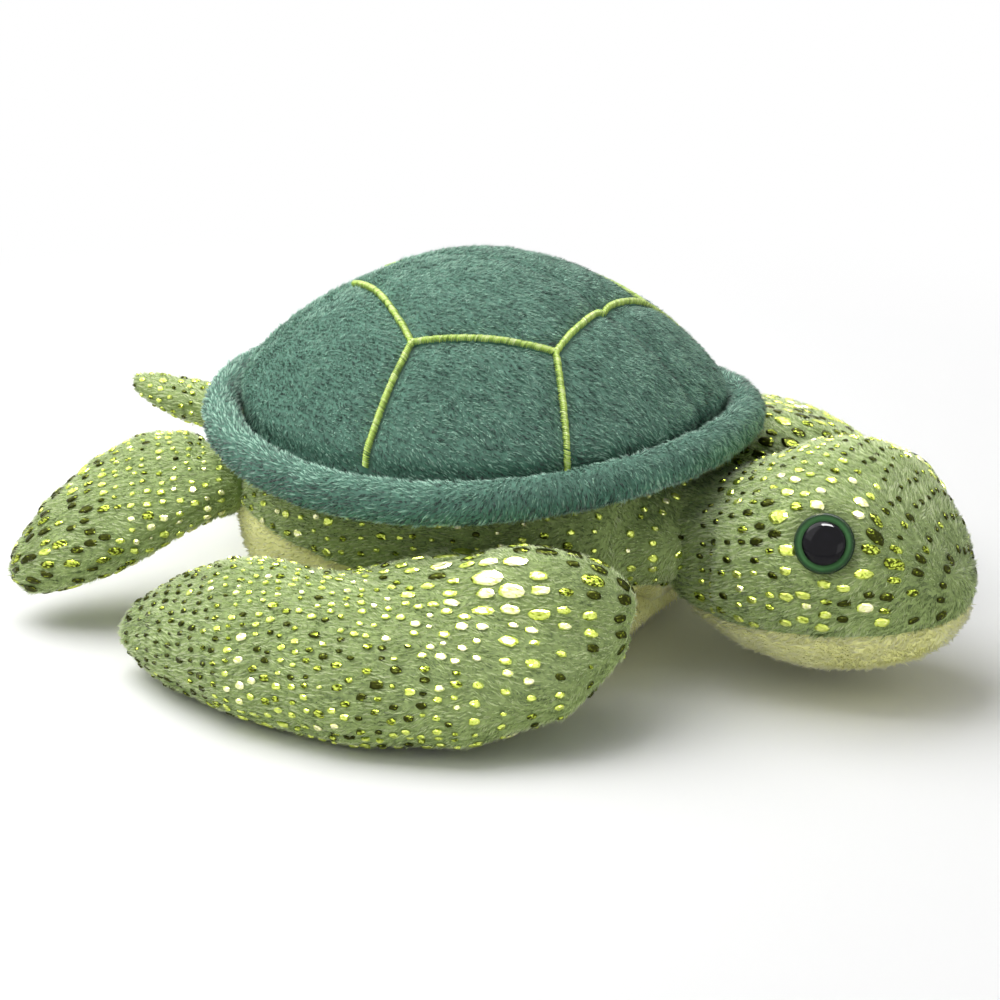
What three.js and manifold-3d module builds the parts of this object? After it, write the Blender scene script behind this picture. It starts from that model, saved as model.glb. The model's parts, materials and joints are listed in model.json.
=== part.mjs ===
// Plush sea turtle, about 20 cm long, sewn from pile fabric and filled with fibre.
// Units are millimetres. +X points to the nose, +Y to the turtle's left and +Z up.
// The origin is the middle of the belly's flat underside, below the middle of the shell.
//
// Each stuffed form is a cover of sewn panels round a filling. The panels are separate solids that stop a
// small clearance short of each other at their seams, and the filling is a solid of its own.

import * as THREE from 'three';
import { mergeVertices } from 'three/addons/utils/BufferGeometryUtils.js';
import Module from 'manifold-3d';

const wasm = await Module();
wasm.setup();

// Fabric and fits
const fabric = 2; // pile fabric with its backing
const gap = 0.3; // clearance between neighbouring pieces
const nodGap = 0.7; // clearance round the back of the neck, which nods in the torso
const floorLift = 0.4; // head and flippers stay this far above the belly's rest face
const overrun = 300; // cutting blocks run this far past the toy
const tightShare = 0.35; // a cover's inside never gets smaller than this share of its outside
const rootSlack = 2; // degrees that a limb's root keeps free past each of its limits

// Shell
const rimHalfLength = 55.5; // to the middle of the rolled rim
const rimHalfWidth = 54.5;
const rimRadius = 4.3;
const rimHeight = 47.5; // middle of the rim above the floor, at the nose and tail ends
const rimDroop = 3.5; // the rim hangs this much lower at the flanks
const domeRise = 33; // crown of the shell above the middle of the rim
const domePower = 1.8;
const domeFullness = 0.95;
const skirtDepth = 3; // shell panels run this far below the middle of the rim
const liningThickness = 1.2;
const stitchWidth = 1.9;
const stitchHeight = 0.9;

// Torso
const torsoHalfLength = 56;
const torsoHalfWidth = 48;
const waistHeight = 27; // where the torso is widest
const restFaceShare = 0.62; // flat underside, as a share of the torso's plan
const chestStartShare = 0.6; // where the chest starts to rise, as a share of the torso's half length
const chestRise = 8; // how far the underside has risen where the torso is cut off
const torsoTopShare = 0.86;
const sideSeamHeight = 23.5; // seam of the side panel and the belly, above the origin
const sideSeamFall = 5.5; // degrees that this seam falls towards the nose

// Neck, with the nod axis along Y and the turn axis along Z
const neckHalfWidth = 15.5;
const neckHalfHeight = 13.5;
const neckCentreHeight = 26;
const neckPlugRadius = 16; // round back of the neck, about the nod axis
const neckPlugDepth = 8; // how far the neck reaches into the torso
const torsoFront = 44; // where the torso is cut off for the neck
const headPlugRadius = 17.5; // round back of the head, about the turn axis

// Head
const headLength = 65.5; // from the round back of the head to the nose
const headHeight = 47.6;
const headHalfWidth = 26;
const chinLift = 4; // chin above the floor
const headSquareness = 2.25; // exponent of the head's oval sections
const chinSeamHeight = 11.5; // seam of crown and chin above the chin, at the turn axis
const chinSeamRise = 4; // degrees that this seam rises towards the nose

// Eyes
const eyeRadius = 6;
const irisThickness = 1.4;
const pupilRadius = 4.3;
const pupilThickness = 0.4;
const lensRise = 2.5;
const lensEdge = 0.5;
const eyeSink = 0.9; // how deep the eye is pressed into the pile
const stemRadius = 1.8;
const stemLength = 8;
const washerRadius = 6.2;
const washerThickness = 1.2;
const eyePlaceShare = 0.665; // along the head's length
const eyeHeightAngle = 24; // degrees up the head's section

// Front flippers
const frontRootAngle = 70; // degrees round the torso's plan from the nose
const frontRootHeight = 24;
const limbFillGap = 0.5; // between a limb's covers and its filling: the facets of the one cut across the other's
const frontRootHalfLength = 19;
const frontLength = 73;
const frontSpan = 40;
const frontThickness = 25;
const frontLiftLimit = 34; // degrees
const frontDropLimit = 18;
const leftFlipperRaise = 27; // degrees that the left one's shoulder lies higher than the right one's
const leftFlipperAhead = 14; // degrees that the left one is sewn nearer to the nose

// Rear flippers
const rearRootAngle = 148;
const rearRootHeight = 30;
const rearRootHalfLength = 12;
const rearLength = 41.5;
const rearSpan = 32;
const rearThickness = 19;
const rearLiftLimit = 15;
const rearDropLimit = 20;

// Tail
const tailRootAngle = 180;
const tailRootHeight = 36;
const tailLength = 35;
const tailWidth = 14;
const tailThickness = 10;
const tailRise = 3.5;
const tailLiftLimit = 18;
const tailDropLimit = 15;
const tailTuck = 10; // degrees more that its root keeps free below, where the torso swells

// Facets
const planSides = 30;
const domeRings = 7;
const flatRings = 3;
const arcSteps = 4;
const rimSides = 8;
const headSides = 16;
const limbArcs = 7;
const eyeSides = 16;
const stitchSteps = 5;
const stitchSides = 6;

const domeHalfLength = rimHalfLength - rimRadius - gap;
const domeHalfWidth = rimHalfWidth - rimRadius - gap;
const liningTop = rimHeight - skirtDepth - gap;
const torsoTop = liningTop - liningThickness - gap;
const nodX = torsoFront - neckPlugDepth + neckPlugRadius;
const headBack = torsoFront + gap;
const turnX = headBack + headPlugRadius;
const washerDrop = eyeSink + fabric + gap; // washer's top face below the pile's surface

const paint = (color, roughness, metalness = 0) => new THREE.MeshStandardMaterial({ color, roughness, metalness });
const finishes = {
  tealPlush: paint(0x3f7a68, 0.95),
  foilPlush: paint(0x7f9f5c, 0.85, 0.1),
  yellowPlush: paint(0xdce08c, 0.95),
  limeThread: paint(0x9cc83c, 0.5),
  fibreFill: paint(0xf2f0ea, 1),
  liningFabric: paint(0x35604f, 0.9),
  greenIris: paint(0x3f7f45, 0.15),
  blackPupil: paint(0x0b0b10, 0.1),
  clearLens: paint(0xdfeee0, 0.02),
  whiteNylon: paint(0xe8e8e4, 0.5),
};

const group = new THREE.Group();

// Turns a closed geometry into a solid: shared corners are merged and slivers without area left out.
function solid(geometry) {
  const bare = new THREE.BufferGeometry();
  bare.setAttribute('position', geometry.getAttribute('position').clone());
  if (geometry.index) bare.setIndex(geometry.index.clone());
  const merged = mergeVertices(bare);
  const index = merged.index.array;
  const corners = [];
  for (let i = 0; i < index.length; i += 3) {
    const [a, b, c] = [index[i], index[i + 1], index[i + 2]];
    if (a !== b && b !== c && c !== a) corners.push(a, b, c);
  }
  const vertProperties = new Float32Array(merged.getAttribute('position').array);
  const triVerts = new Uint32Array(corners);
  if (signedVolume(vertProperties, triVerts) < 0) triVerts.reverse();
  return new wasm.Manifold(new wasm.Mesh({ numProp: 3, vertProperties, triVerts }));
}

function signedVolume(points, corners) {
  const [a, b, c] = [new THREE.Vector3(), new THREE.Vector3(), new THREE.Vector3()];
  let volume = 0;
  for (let i = 0; i < corners.length; i += 3) {
    a.fromArray(points, 3 * corners[i]);
    b.fromArray(points, 3 * corners[i + 1]);
    c.fromArray(points, 3 * corners[i + 2]);
    volume += a.dot(b.cross(c));
  }
  return volume;
}

function add(name, body, material, shape = (point) => point) {
  const mesh = body.getMesh();
  const positions = new Float32Array(3 * mesh.numVert);
  const point = new THREE.Vector3();
  for (let i = 0; i < mesh.numVert; i++) {
    point.fromArray(mesh.vertProperties, i * mesh.numProp);
    shape(point).toArray(positions, 3 * i);
  }
  const geometry = new THREE.BufferGeometry();
  geometry.setAttribute('position', new THREE.BufferAttribute(positions, 3));
  geometry.setIndex(new THREE.BufferAttribute(new Uint32Array(mesh.triVerts), 1));
  geometry.computeVertexNormals();
  const piece = new THREE.Mesh(geometry, material);
  piece.name = name;
  group.add(piece);
}

const xAxis = new THREE.Vector3(1, 0, 0);
const yAxis = new THREE.Vector3(0, 1, 0);
const zAxis = new THREE.Vector3(0, 0, 1);

// Everything on the side of a plane that its normal points to.
function halfSpace(point, normal) {
  const box = new THREE.BoxGeometry(2 * overrun, 2 * overrun, overrun);
  box.translate(0, 0, overrun / 2);
  box.applyQuaternion(new THREE.Quaternion().setFromUnitVectors(zAxis, normal.clone().normalize()));
  box.translate(point.x, point.y, point.z);
  return solid(box);
}

// A round bar about an axis through a point.
function bar(point, axis, radius, length, sides = planSides) {
  const cylinder = new THREE.CylinderGeometry(radius, radius, length, sides);
  cylinder.applyQuaternion(new THREE.Quaternion().setFromUnitVectors(yAxis, axis));
  cylinder.translate(point.x, point.y, point.z);
  return solid(cylinder);
}

// Spins a profile of [share of the plan, height] pairs into a body with an oval plan.
function ovalBody(profile, halfLength, halfWidth) {
  const points = profile.map(([share, height]) => new THREE.Vector2(share, height));
  const lathe = new THREE.LatheGeometry(points, planSides);
  lathe.rotateX(Math.PI / 2);
  lathe.scale(halfLength, halfWidth, 1);
  return solid(lathe);
}

// The flat end of a profile, in rings, so that it can follow the droop.
function flatEnd(edgeShare, height) {
  return Array.from({ length: flatRings }, (_, i) => [(edgeShare * i) / flatRings, height]);
}

// A body through a row of rings with the same number of points. The caps join ring points in pairs:
// point i with the last point but i, so a ring may be an oval or the letter C. A square that isn't flat is
// folded along its shorter diagonal.
function loft(rings) {
  const count = rings[0].length;
  const points = rings.flat();
  const at = (i) => points[i];
  const corners = [];
  for (let r = 0; r + 1 < rings.length; r++) {
    for (let i = 0; i < count; i++) {
      const a = r * count + i;
      const b = r * count + ((i + 1) % count);
      const [c, d] = [b + count, a + count];
      const folded = at(a).distanceTo(at(c)) > at(b).distanceTo(at(d));
      corners.push(...(folded ? [a, b, d, b, c, d] : [a, b, c, a, c, d]));
    }
  }
  const last = (rings.length - 1) * count;
  for (let i = 0; i + 1 < count / 2; i++) {
    const [a, b, c, d] = [i, i + 1, count - 2 - i, count - 1 - i];
    corners.push(a, c, b, a, d, c);
    corners.push(last + a, last + b, last + c, last + a, last + c, last + d);
  }
  const geometry = new THREE.BufferGeometry();
  const positions = points.flatMap((point) => point.toArray());
  geometry.setAttribute('position', new THREE.Float32BufferAttribute(positions, 3));
  geometry.setIndex(corners);
  return solid(geometry);
}

// Shell

function domeHeightAt(share, inset) {
  const reach = (share * (domeHalfLength - inset)) / rimHalfLength;
  return rimHeight + (domeRise - inset) * (1 - reach ** domePower) ** domeFullness;
}

function domeBody(inset, base) {
  const rings = Array.from({ length: domeRings + 1 }, (_, i) => Math.cos((i * Math.PI) / 2 / domeRings));
  rings[domeRings] = 0;
  const top = rings.map((share) => [share, domeHeightAt(share, inset)]);
  return ovalBody([...flatEnd(1, base), [1, base], ...top], domeHalfLength - inset, domeHalfWidth - inset);
}

function droop(point) {
  point.z -= rimDroop * (point.y / rimHalfWidth) ** 2;
  return point;
}

const leftHalf = halfSpace(new THREE.Vector3(0, gap / 2, 0), yAxis);
const rightHalf = halfSpace(new THREE.Vector3(0, -gap / 2, 0), yAxis.clone().negate());

function makeShell() {
  const base = rimHeight - skirtDepth;
  const cover = domeBody(0, base).subtract(domeBody(fabric, base - overrun));
  add('shell_panel_left', cover.intersect(leftHalf), finishes.tealPlush, droop);
  add('shell_panel_right', cover.intersect(rightHalf), finishes.tealPlush, droop);
  add('shell_stuffing', domeBody(fabric + gap, base), finishes.fibreFill, droop);

  const lining = [
    ...flatEnd(1, liningTop - liningThickness),
    [1, liningTop - liningThickness],
    [1, liningTop],
    ...flatEnd(1, liningTop).reverse(),
  ];
  add('shell_lining', ovalBody(lining, domeHalfLength, domeHalfWidth), finishes.liningFabric, droop);

  const circle = Array.from({ length: rimSides + 1 }, (_, i) => (2 * Math.PI * i) / rimSides);
  const roll = circle.map((turn) =>
    new THREE.Vector2(rimHalfLength + rimRadius * Math.cos(turn), rimRadius * Math.sin(turn)));
  const ring = new THREE.LatheGeometry(roll, planSides);
  ring.rotateX(Math.PI / 2);
  ring.translate(0, 0, rimHeight);
  add('shell_rim', solid(ring), finishes.tealPlush, (point) => droop(ovalPlan(point)));
}

// Narrows the round rim to its oval plan and keeps the roll round.
function ovalPlan(point) {
  const turn = Math.atan2(point.y, point.x);
  const out = Math.hypot(point.x, point.y) - rimHalfLength;
  point.x = (rimHalfLength + out) * Math.cos(turn);
  point.y = (rimHalfWidth + out) * Math.sin(turn);
  return point;
}

// Embroidered lines on each half of the shell, between corners given as shares of the shell's plan
const stitchCornerShares = {
  rearSpine: [-0.575, 0.03],
  rearFlank: [0.01, 0.62],
  frontFlank: [0.535, 0.405],
  frontSpine: [0.54, 0.03],
  rearRim: [0, 0.98],
  frontRim: [0.72, 0.665],
};
const stitchRuns = [
  ['rearSpine', 'rearFlank'],
  ['rearFlank', 'frontFlank'],
  ['frontFlank', 'frontSpine'],
  ['rearFlank', 'rearRim'],
  ['frontFlank', 'frontRim'],
];

function shellPoint(xShare, yShare, lift) {
  const share = Math.hypot(xShare, yShare);
  const at = (x, y) => domeHeightAt(Math.min(Math.hypot(x, y), 1), 0);
  const small = gap / domeHalfLength;
  const slopeX = (at(xShare + small, yShare) - at(xShare - small, yShare)) / (2 * gap);
  const slopeY = (at(xShare, yShare + small) - at(xShare, yShare - small)) / (2 * gap);
  const normal = new THREE.Vector3(-slopeX, -slopeY, 1).normalize();
  const point = new THREE.Vector3(xShare * domeHalfLength, yShare * domeHalfWidth, domeHeightAt(share, 0));
  return { point: point.addScaledVector(normal, lift), normal };
}

function stitchRun(from, to, side) {
  const rings = [];
  const [a, b] = [stitchCornerShares[from], stitchCornerShares[to]];
  for (let i = 0; i <= stitchSteps; i++) {
    const lift = gap + stitchHeight / 2;
    const at = (t) => shellPoint(a[0] + (b[0] - a[0]) * t, side * (a[1] + (b[1] - a[1]) * t), lift);
    const { point, normal } = at(i / stitchSteps);
    const along = at((i + 1) / stitchSteps).point.sub(at((i - 1) / stitchSteps).point).normalize();
    const across = new THREE.Vector3().crossVectors(normal, along).normalize();
    across.multiplyScalar(stitchWidth / 2);
    normal.multiplyScalar(stitchHeight / 2);
    rings.push(oval(point, across, normal, stitchSides));
  }
  return loft(rings);
}

function makeEmbroidery() {
  for (const [name, side] of [['left', 1], ['right', -1]]) {
    const runs = stitchRuns.map(([from, to]) => stitchRun(from, to, side));
    add(`shell_embroidery_${name}`, runs.reduce((all, run) => all.add(run)), finishes.limeThread, droop);
  }
}

// A ring of points round a centre, from two half-axis vectors.
function oval(centre, across, up, sides, squareness = 2, start = 0.5) {
  const bend = (value) => Math.sign(value) * Math.abs(value) ** (2 / squareness);
  return Array.from({ length: sides }, (_, i) => {
    const turn = (2 * Math.PI * (i + start)) / sides;
    return centre.clone().addScaledVector(across, bend(Math.cos(turn))).addScaledVector(up, bend(Math.sin(turn)));
  });
}

// Torso

function torsoProfile(inset) {
  const low = inset;
  const high = torsoTop - inset;
  const quarter = Array.from({ length: arcSteps + 1 }, (_, i) => (i * Math.PI) / 2 / arcSteps);
  const belly = quarter.map((turn) => [
    restFaceShare + (1 - restFaceShare) * Math.sin(turn),
    waistHeight - (waistHeight - low) * Math.cos(turn),
  ]);
  const back = quarter.slice(1).map((turn) => [
    torsoTopShare + (1 - torsoTopShare) * Math.cos(turn),
    waistHeight + (high - waistHeight) * Math.sin(turn),
  ]);
  return [[0, low], [chestStartShare, low], ...belly, ...back, ...flatEnd(torsoTopShare, high).reverse()];
}

// The underside rises towards the neck, and not at all from the waist up.
function chest(point) {
  const start = chestStartShare * torsoHalfLength;
  const share = Math.max(point[0] - start, 0) / (torsoFront - start);
  point[2] += chestRise * share ** 2 * Math.max(1 - point[2] / waistHeight, 0);
}

function torsoBody(inset) {
  const plug = new THREE.Vector3(nodX, 0, neckCentreHeight);
  const width = 2 * (neckHalfWidth + gap + inset);
  return ovalBody(torsoProfile(inset), torsoHalfLength - inset, torsoHalfWidth - inset)
    .warp(chest)
    .intersect(halfSpace(new THREE.Vector3(torsoFront - inset, 0, 0), xAxis.clone().negate()))
    .subtract(bar(plug, yAxis, neckPlugRadius + nodGap + inset, width));
}

// The whole torso droops at its flanks as the shell does, and stays flat below.
function torsoDroop(point) {
  point.z -= (rimDroop * (point.y / rimHalfWidth) ** 2 * point.z) / torsoTop;
  return point;
}

// Both sides of a seam plane that runs across the toy and tips by an angle about Y.
function seam(x, height, rise) {
  const tip = THREE.MathUtils.degToRad(rise);
  const normal = new THREE.Vector3(-Math.sin(tip), 0, Math.cos(tip));
  const at = (lift) => new THREE.Vector3(x, 0, height).addScaledVector(normal, lift);
  return {
    above: halfSpace(at(gap / 2), normal),
    below: halfSpace(at(-gap / 2), normal.clone().negate()),
  };
}

const sideSeam = seam(0, sideSeamHeight, -sideSeamFall);

function makeTorso() {
  const cover = torsoBody(0).subtract(torsoBody(fabric));
  add('body_side_panel', cover.intersect(sideSeam.above), finishes.foilPlush, torsoDroop);
  add('belly_panel', cover.intersect(sideSeam.below), finishes.yellowPlush, torsoDroop);
  add('torso_stuffing', torsoBody(fabric + gap), finishes.fibreFill, torsoDroop);
}

// Neck

function neckBody(inset) {
  const ends = [torsoFront - neckPlugDepth - gap, turnX];
  const rings = ends.map((x) =>
    oval(
      new THREE.Vector3(x, 0, neckCentreHeight),
      new THREE.Vector3(0, neckHalfWidth - inset, 0),
      new THREE.Vector3(0, 0, neckHalfHeight - inset),
      headSides,
      headSquareness,
    ),
  );
  const nodPoint = new THREE.Vector3(nodX, 0, neckCentreHeight);
  const roundBack = bar(nodPoint, yAxis, neckPlugRadius - inset, overrun).add(halfSpace(nodPoint, xAxis));
  return loft(rings).intersect(roundBack);
}

// The neck ends in a hollow that the round back of the head turns in.
function makeNeck() {
  const turnPoint = new THREE.Vector3(turnX, 0, neckCentreHeight);
  const hollow = bar(turnPoint, zAxis, headPlugRadius + gap, overrun);
  const cover = neckBody(0).subtract(hollow).subtract(neckBody(fabric));
  add('neck_upper_panel', cover.intersect(sideSeam.above), finishes.foilPlush);
  add('neck_lower_panel', cover.intersect(sideSeam.below), finishes.yellowPlush);
  add('neck_stuffing', neckBody(fabric + gap).subtract(hollow), finishes.fibreFill);
}

// Head

// Rows from the back to the nose: place along the head, underside, top and half width, all as shares
const headShares = [
  [0, 0.3, 0.7, 0.52],
  [0.09, 0.2, 0.75, 0.63],
  [0.19, 0.115, 0.785, 0.74],
  [0.315, 0.045, 0.865, 0.9],
  [0.457, 0, 0.97, 0.99],
  [0.6, 0, 1, 1],
  [0.743, 0.035, 0.935, 0.92],
  [0.857, 0.085, 0.8, 0.76],
  [0.943, 0.165, 0.66, 0.52],
  [1, 0.285, 0.5, 0.25],
];

function shrink(size, inset) {
  return Math.max(size - inset, size * tightShare);
}

function headSection([along, under, top, wide], inset) {
  const half = (headHeight * (top - under)) / 2;
  const x = headBack + along * headLength;
  return {
    centre: new THREE.Vector3(x, 0, chinLift + headHeight * under + half),
    across: new THREE.Vector3(0, shrink(headHalfWidth * wide, inset), 0),
    up: new THREE.Vector3(0, 0, shrink(half, inset)),
  };
}

function headBody(inset) {
  const rings = headShares.map((row) => {
    const { centre, across, up } = headSection(row, inset);
    centre.x = THREE.MathUtils.lerp(headBack + inset, headBack + headLength - inset, row[0]);
    return oval(centre, across, up, headSides, headSquareness);
  });
  const turnPoint = new THREE.Vector3(turnX, 0, 0);
  const roundBack = bar(turnPoint, zAxis, headPlugRadius - inset, overrun).add(halfSpace(turnPoint, xAxis));
  return loft(rings).intersect(roundBack);
}

// A point on the head at a share of its length and an angle up its section, and the way out of the head there.
function headPoint(along, angle, side) {
  const at = (share, turn) => {
    const next = headShares.findIndex((row) => row[0] > share);
    const [a, b] = [headShares[next - 1], headShares[next]];
    const t = (share - a[0]) / (b[0] - a[0]);
    const row = a.map((value, i) => value + (b[i] - value) * t);
    const { centre, across, up } = headSection(row, 0);
    const bend = (value) => Math.abs(value) ** (2 / headSquareness);
    return centre.addScaledVector(across, side * bend(Math.cos(turn))).addScaledVector(up, bend(Math.sin(turn)));
  };
  const turn = THREE.MathUtils.degToRad(angle);
  const small = eyeRadius / headLength;
  const lengthwise = at(along + small, turn).sub(at(along - small, turn));
  const upward = at(along, turn + small).sub(at(along, turn - small));
  const normal = new THREE.Vector3().crossVectors(upward, lengthwise).multiplyScalar(side).normalize();
  return { point: at(along, turn), normal };
}

// Turns a body that stands on the origin along +Y to stand on a point along a direction.
function stand(geometry, point, direction) {
  geometry.applyQuaternion(new THREE.Quaternion().setFromUnitVectors(yAxis, direction));
  geometry.translate(point.x, point.y, point.z);
  return solid(geometry);
}

function turned(pairs) {
  return new THREE.LatheGeometry(pairs.map(([radius, height]) => new THREE.Vector2(radius, height)), eyeSides);
}

function makeEye(side, name) {
  const { point, normal } = headPoint(eyePlaceShare, eyeHeightAngle, side);
  const put = (pairs) => stand(turned(pairs), point, normal);
  const low = gap - eyeSink;
  const high = low + irisThickness;
  const stemEnd = low - stemLength;
  add(`eye_iris_${name}`, put([
    [0, stemEnd], [stemRadius, stemEnd], [stemRadius, low], [eyeRadius, low], [eyeRadius, high], [0, high],
  ]), finishes.greenIris);

  const pupilLow = high + gap;
  const pupilHigh = pupilLow + pupilThickness;
  add(`eye_pupil_${name}`, put([
    [0, pupilLow], [pupilRadius, pupilLow], [pupilRadius, pupilHigh], [0, pupilHigh],
  ]), finishes.blackPupil);

  const pocket = pupilRadius + gap;
  const bow = Array.from({ length: arcSteps + 1 }, (_, i) => {
    const turn = (i * Math.PI) / 2 / arcSteps;
    return [eyeRadius * Math.cos(turn), pupilLow + lensEdge + lensRise * Math.sin(turn)];
  });
  bow[arcSteps][0] = 0;
  add(`eye_lens_${name}`, put([
    [0, pupilHigh + gap], [pocket, pupilHigh + gap], [pocket, pupilLow], [eyeRadius, pupilLow], ...bow,
  ]), finishes.clearLens);

  const bore = stemRadius + gap;
  const washerTop = -washerDrop;
  const washerLow = washerTop - washerThickness;
  add(`eye_washer_${name}`, put([
    [bore, washerLow], [washerRadius, washerLow], [washerRadius, washerTop], [bore, washerTop], [bore, washerLow],
  ]), finishes.whiteNylon);

  // What the eye takes out of the cover and out of the filling
  const seat = put([
    [0, stemEnd], [washerRadius + gap, stemEnd], [washerRadius + gap, washerTop + gap], [bore, washerTop + gap],
    [bore, low - gap], [eyeRadius + gap, low - gap], [eyeRadius + gap, overrun], [0, overrun],
  ]);
  const well = put([
    [0, stemEnd - gap], [bore, stemEnd - gap], [bore, washerLow - gap], [washerRadius + gap, washerLow - gap],
    [washerRadius + gap, overrun], [0, overrun],
  ]);
  return { seat, well };
}

function makeHead() {
  const eyes = [makeEye(1, 'left'), makeEye(-1, 'right')];
  let cover = headBody(0).subtract(headBody(fabric));
  let filling = headBody(fabric + gap);
  for (const { seat, well } of eyes) {
    cover = cover.subtract(seat);
    filling = filling.subtract(well);
  }
  const chinSeam = seam(turnX, chinLift + chinSeamHeight, chinSeamRise);
  add('head_crown_panel', cover.intersect(chinSeam.above), finishes.foilPlush);
  add('head_chin_panel', cover.intersect(chinSeam.below), finishes.yellowPlush);
  add('head_stuffing', filling, finishes.fibreFill);
}

// Limbs

// Where a limb is sewn to the torso: a point on it at an angle round its plan and a height, and the way out.
function torsoEdge(angle, height, side) {
  const turn = THREE.MathUtils.degToRad(angle);
  const [cos, sin] = [Math.cos(turn), side * Math.sin(turn)];
  const high = height > waistHeight;
  const rise = (height - waistHeight) / (high ? torsoTop - waistHeight : waistHeight);
  const endShare = high ? torsoTopShare : restFaceShare;
  const share = endShare + (1 - endShare) * Math.sqrt(1 - rise ** 2);
  return {
    point: new THREE.Vector3(share * torsoHalfLength * cos, share * torsoHalfWidth * sin, height),
    out: new THREE.Vector3(cos / torsoHalfLength, sin / torsoHalfWidth, 0).normalize(),
  };
}

// The room that a limb may fill: it narrows to the hinge line at the seam by the angles that it swings through.
// Past the ends of the sewn root, where the torso curves away, the limb is free.
function rootRoom({ point, out }, halfLength, lift, drop) {
  const [rise, fall] = [lift, drop].map((angle) => THREE.MathUtils.degToRad(angle + rootSlack));
  const start = point.clone().addScaledVector(out, gap);
  const upper = out.clone().multiplyScalar(Math.cos(rise)).addScaledVector(zAxis, -Math.sin(rise));
  const lower = out.clone().multiplyScalar(Math.cos(fall)).addScaledVector(zAxis, Math.sin(fall));
  const along = new THREE.Vector3().crossVectors(out, zAxis);
  let room = halfSpace(start, upper).intersect(halfSpace(start, lower));
  for (const way of [along, along.clone().negate()]) {
    room = room.add(halfSpace(point.clone().addScaledVector(way, halfLength), way));
  }
  return room;
}

// Sections of a limb from the rows of its table: leading edge, trailing edge and thickness, all as shares.
// Each row may be turned up about the hinge line by its own angle in degrees.
function limbSections(rows, { point, out }, length, span, thickness, side, raises = []) {
  const hinge = new THREE.Vector3().crossVectors(out, zAxis);
  const sections = rows.map(([ax, ay, az, bx, by, bz, thick], i) => {
    const raise = THREE.MathUtils.degToRad(raises[i] ?? 0);
    const [lead, trail] = [[ax, ay, az], [bx, by, bz]].map(([x, y, z]) =>
      new THREE.Vector3(x * length, side * y * span, (z - 1) * point.z).applyAxisAngle(hinge, raise).add(point));
    const centre = lead.clone().add(trail).divideScalar(2);
    return { centre, across: lead.sub(centre), half: (thick * thickness) / 2 };
  });
  sections.forEach((section, i) => {
    const before = sections[Math.max(i - 2, 0)].centre;
    const after = sections[Math.min(i + 2, sections.length - 1)].centre;
    const up = new THREE.Vector3().crossVectors(after.clone().sub(before), section.across).normalize();
    section.up = up.multiplyScalar(Math.sign(up.z));
  });
  return sections;
}

// Half a cover: the letter C through the limb's sections, above or below its edge seam.
function limbPanel(sections, way) {
  return loft(sections.map(({ centre, across, half, up }) => {
    const width = across.length();
    const arc = (inset) => Array.from({ length: limbArcs + 1 }, (_, i) => {
      const turn = (Math.PI * i) / limbArcs;
      const side = (shrink(width, inset) / width) * Math.cos(turn);
      const lift = gap / 2 + (shrink(half, inset) - gap / 2) * Math.sin(turn);
      return centre.clone().addScaledVector(across, side).addScaledVector(up, way * lift);
    });
    return [...arc(0), ...arc(fabric).reverse()];
  }));
}

function limbFilling(sections) {
  return loft(sections.slice(0, -1).map(({ centre, across, half, up }) => {
    const width = across.length();
    const inset = fabric + limbFillGap;
    const inner = across.clone().multiplyScalar(shrink(width, inset) / width);
    return oval(centre, inner, up.clone().multiplyScalar(shrink(half, inset)), 2 * limbArcs, 2, 0);
  }));
}

const aboveFloor = halfSpace(new THREE.Vector3(0, 0, floorLift), zAxis);

function makeLimb(name, suffix, sections, room) {
  const parts = [
    [`${name}_upper_panel${suffix}`, limbPanel(sections, 1), finishes.foilPlush],
    [`${name}_lower_panel${suffix}`, limbPanel(sections, -1), finishes.foilPlush],
    [`${name}_stuffing${suffix}`, limbFilling(sections), finishes.fibreFill],
  ];
  for (const [piece, body, finish] of parts) add(piece, body.intersect(room).intersect(aboveFloor), finish);
}

// Front flipper: swept back, with a broad shoulder ahead of its root
const frontShares = [
  [0.22, -0.165, 1, -0.21, 0.11, 1, 0.56],
  [0.43, -0.11, 1.06, -0.22, 0.2, 1.04, 0.78],
  [0.56, 0.07, 0.86, -0.24, 0.22, 1.06, 0.96],
  [0.475, 0.45, 0.42, -0.28, 0.24, 1.06, 1],
  [0.2625, 0.8, 0.22, -0.35, 0.265, 1.06, 1.02],
  [-0.057, 0.985, 0.17, -0.46, 0.26, 1.1, 1.02],
  [-0.42, 0.95, 0.165, -0.61, 0.22, 1.03, 0.96],
  [-0.73, 0.76, 0.17, -0.77, 0.2, 0.76, 0.76],
  [-0.88, 0.6, 0.19, -0.9, 0.26, 0.54, 0.52],
  [-0.945, 0.5, 0.24, -0.955, 0.37, 0.36, 0.28],
];

// How much of its raise each row of the left front flipper takes: its tip lies almost on the floor.
const leftRaiseShares = [1, 1, 1, 1, 1, 0.85, 0.65, 0.45, 0.35, 0.3];

// Rear flipper: a leaf that slopes down to the floor
const rearShares = [
  [0.142, 0.284, 1, -0.147, -0.2875, 1, 0.63],
  [0, 0.49, 0.87, -0.36, -0.34, 1.13, 0.84],
  [-0.18, 0.66, 0.7, -0.59, -0.25, 1.1, 1],
  [-0.38, 0.81, 0.52, -0.79, -0.05, 0.94, 1],
  [-0.6, 0.93, 0.38, -0.94, 0.25, 0.7, 0.84],
  [-0.81, 0.93, 0.29, -1, 0.53, 0.47, 0.58],
  [-0.93, 0.85, 0.27, -1, 0.72, 0.34, 0.26],
];

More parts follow.
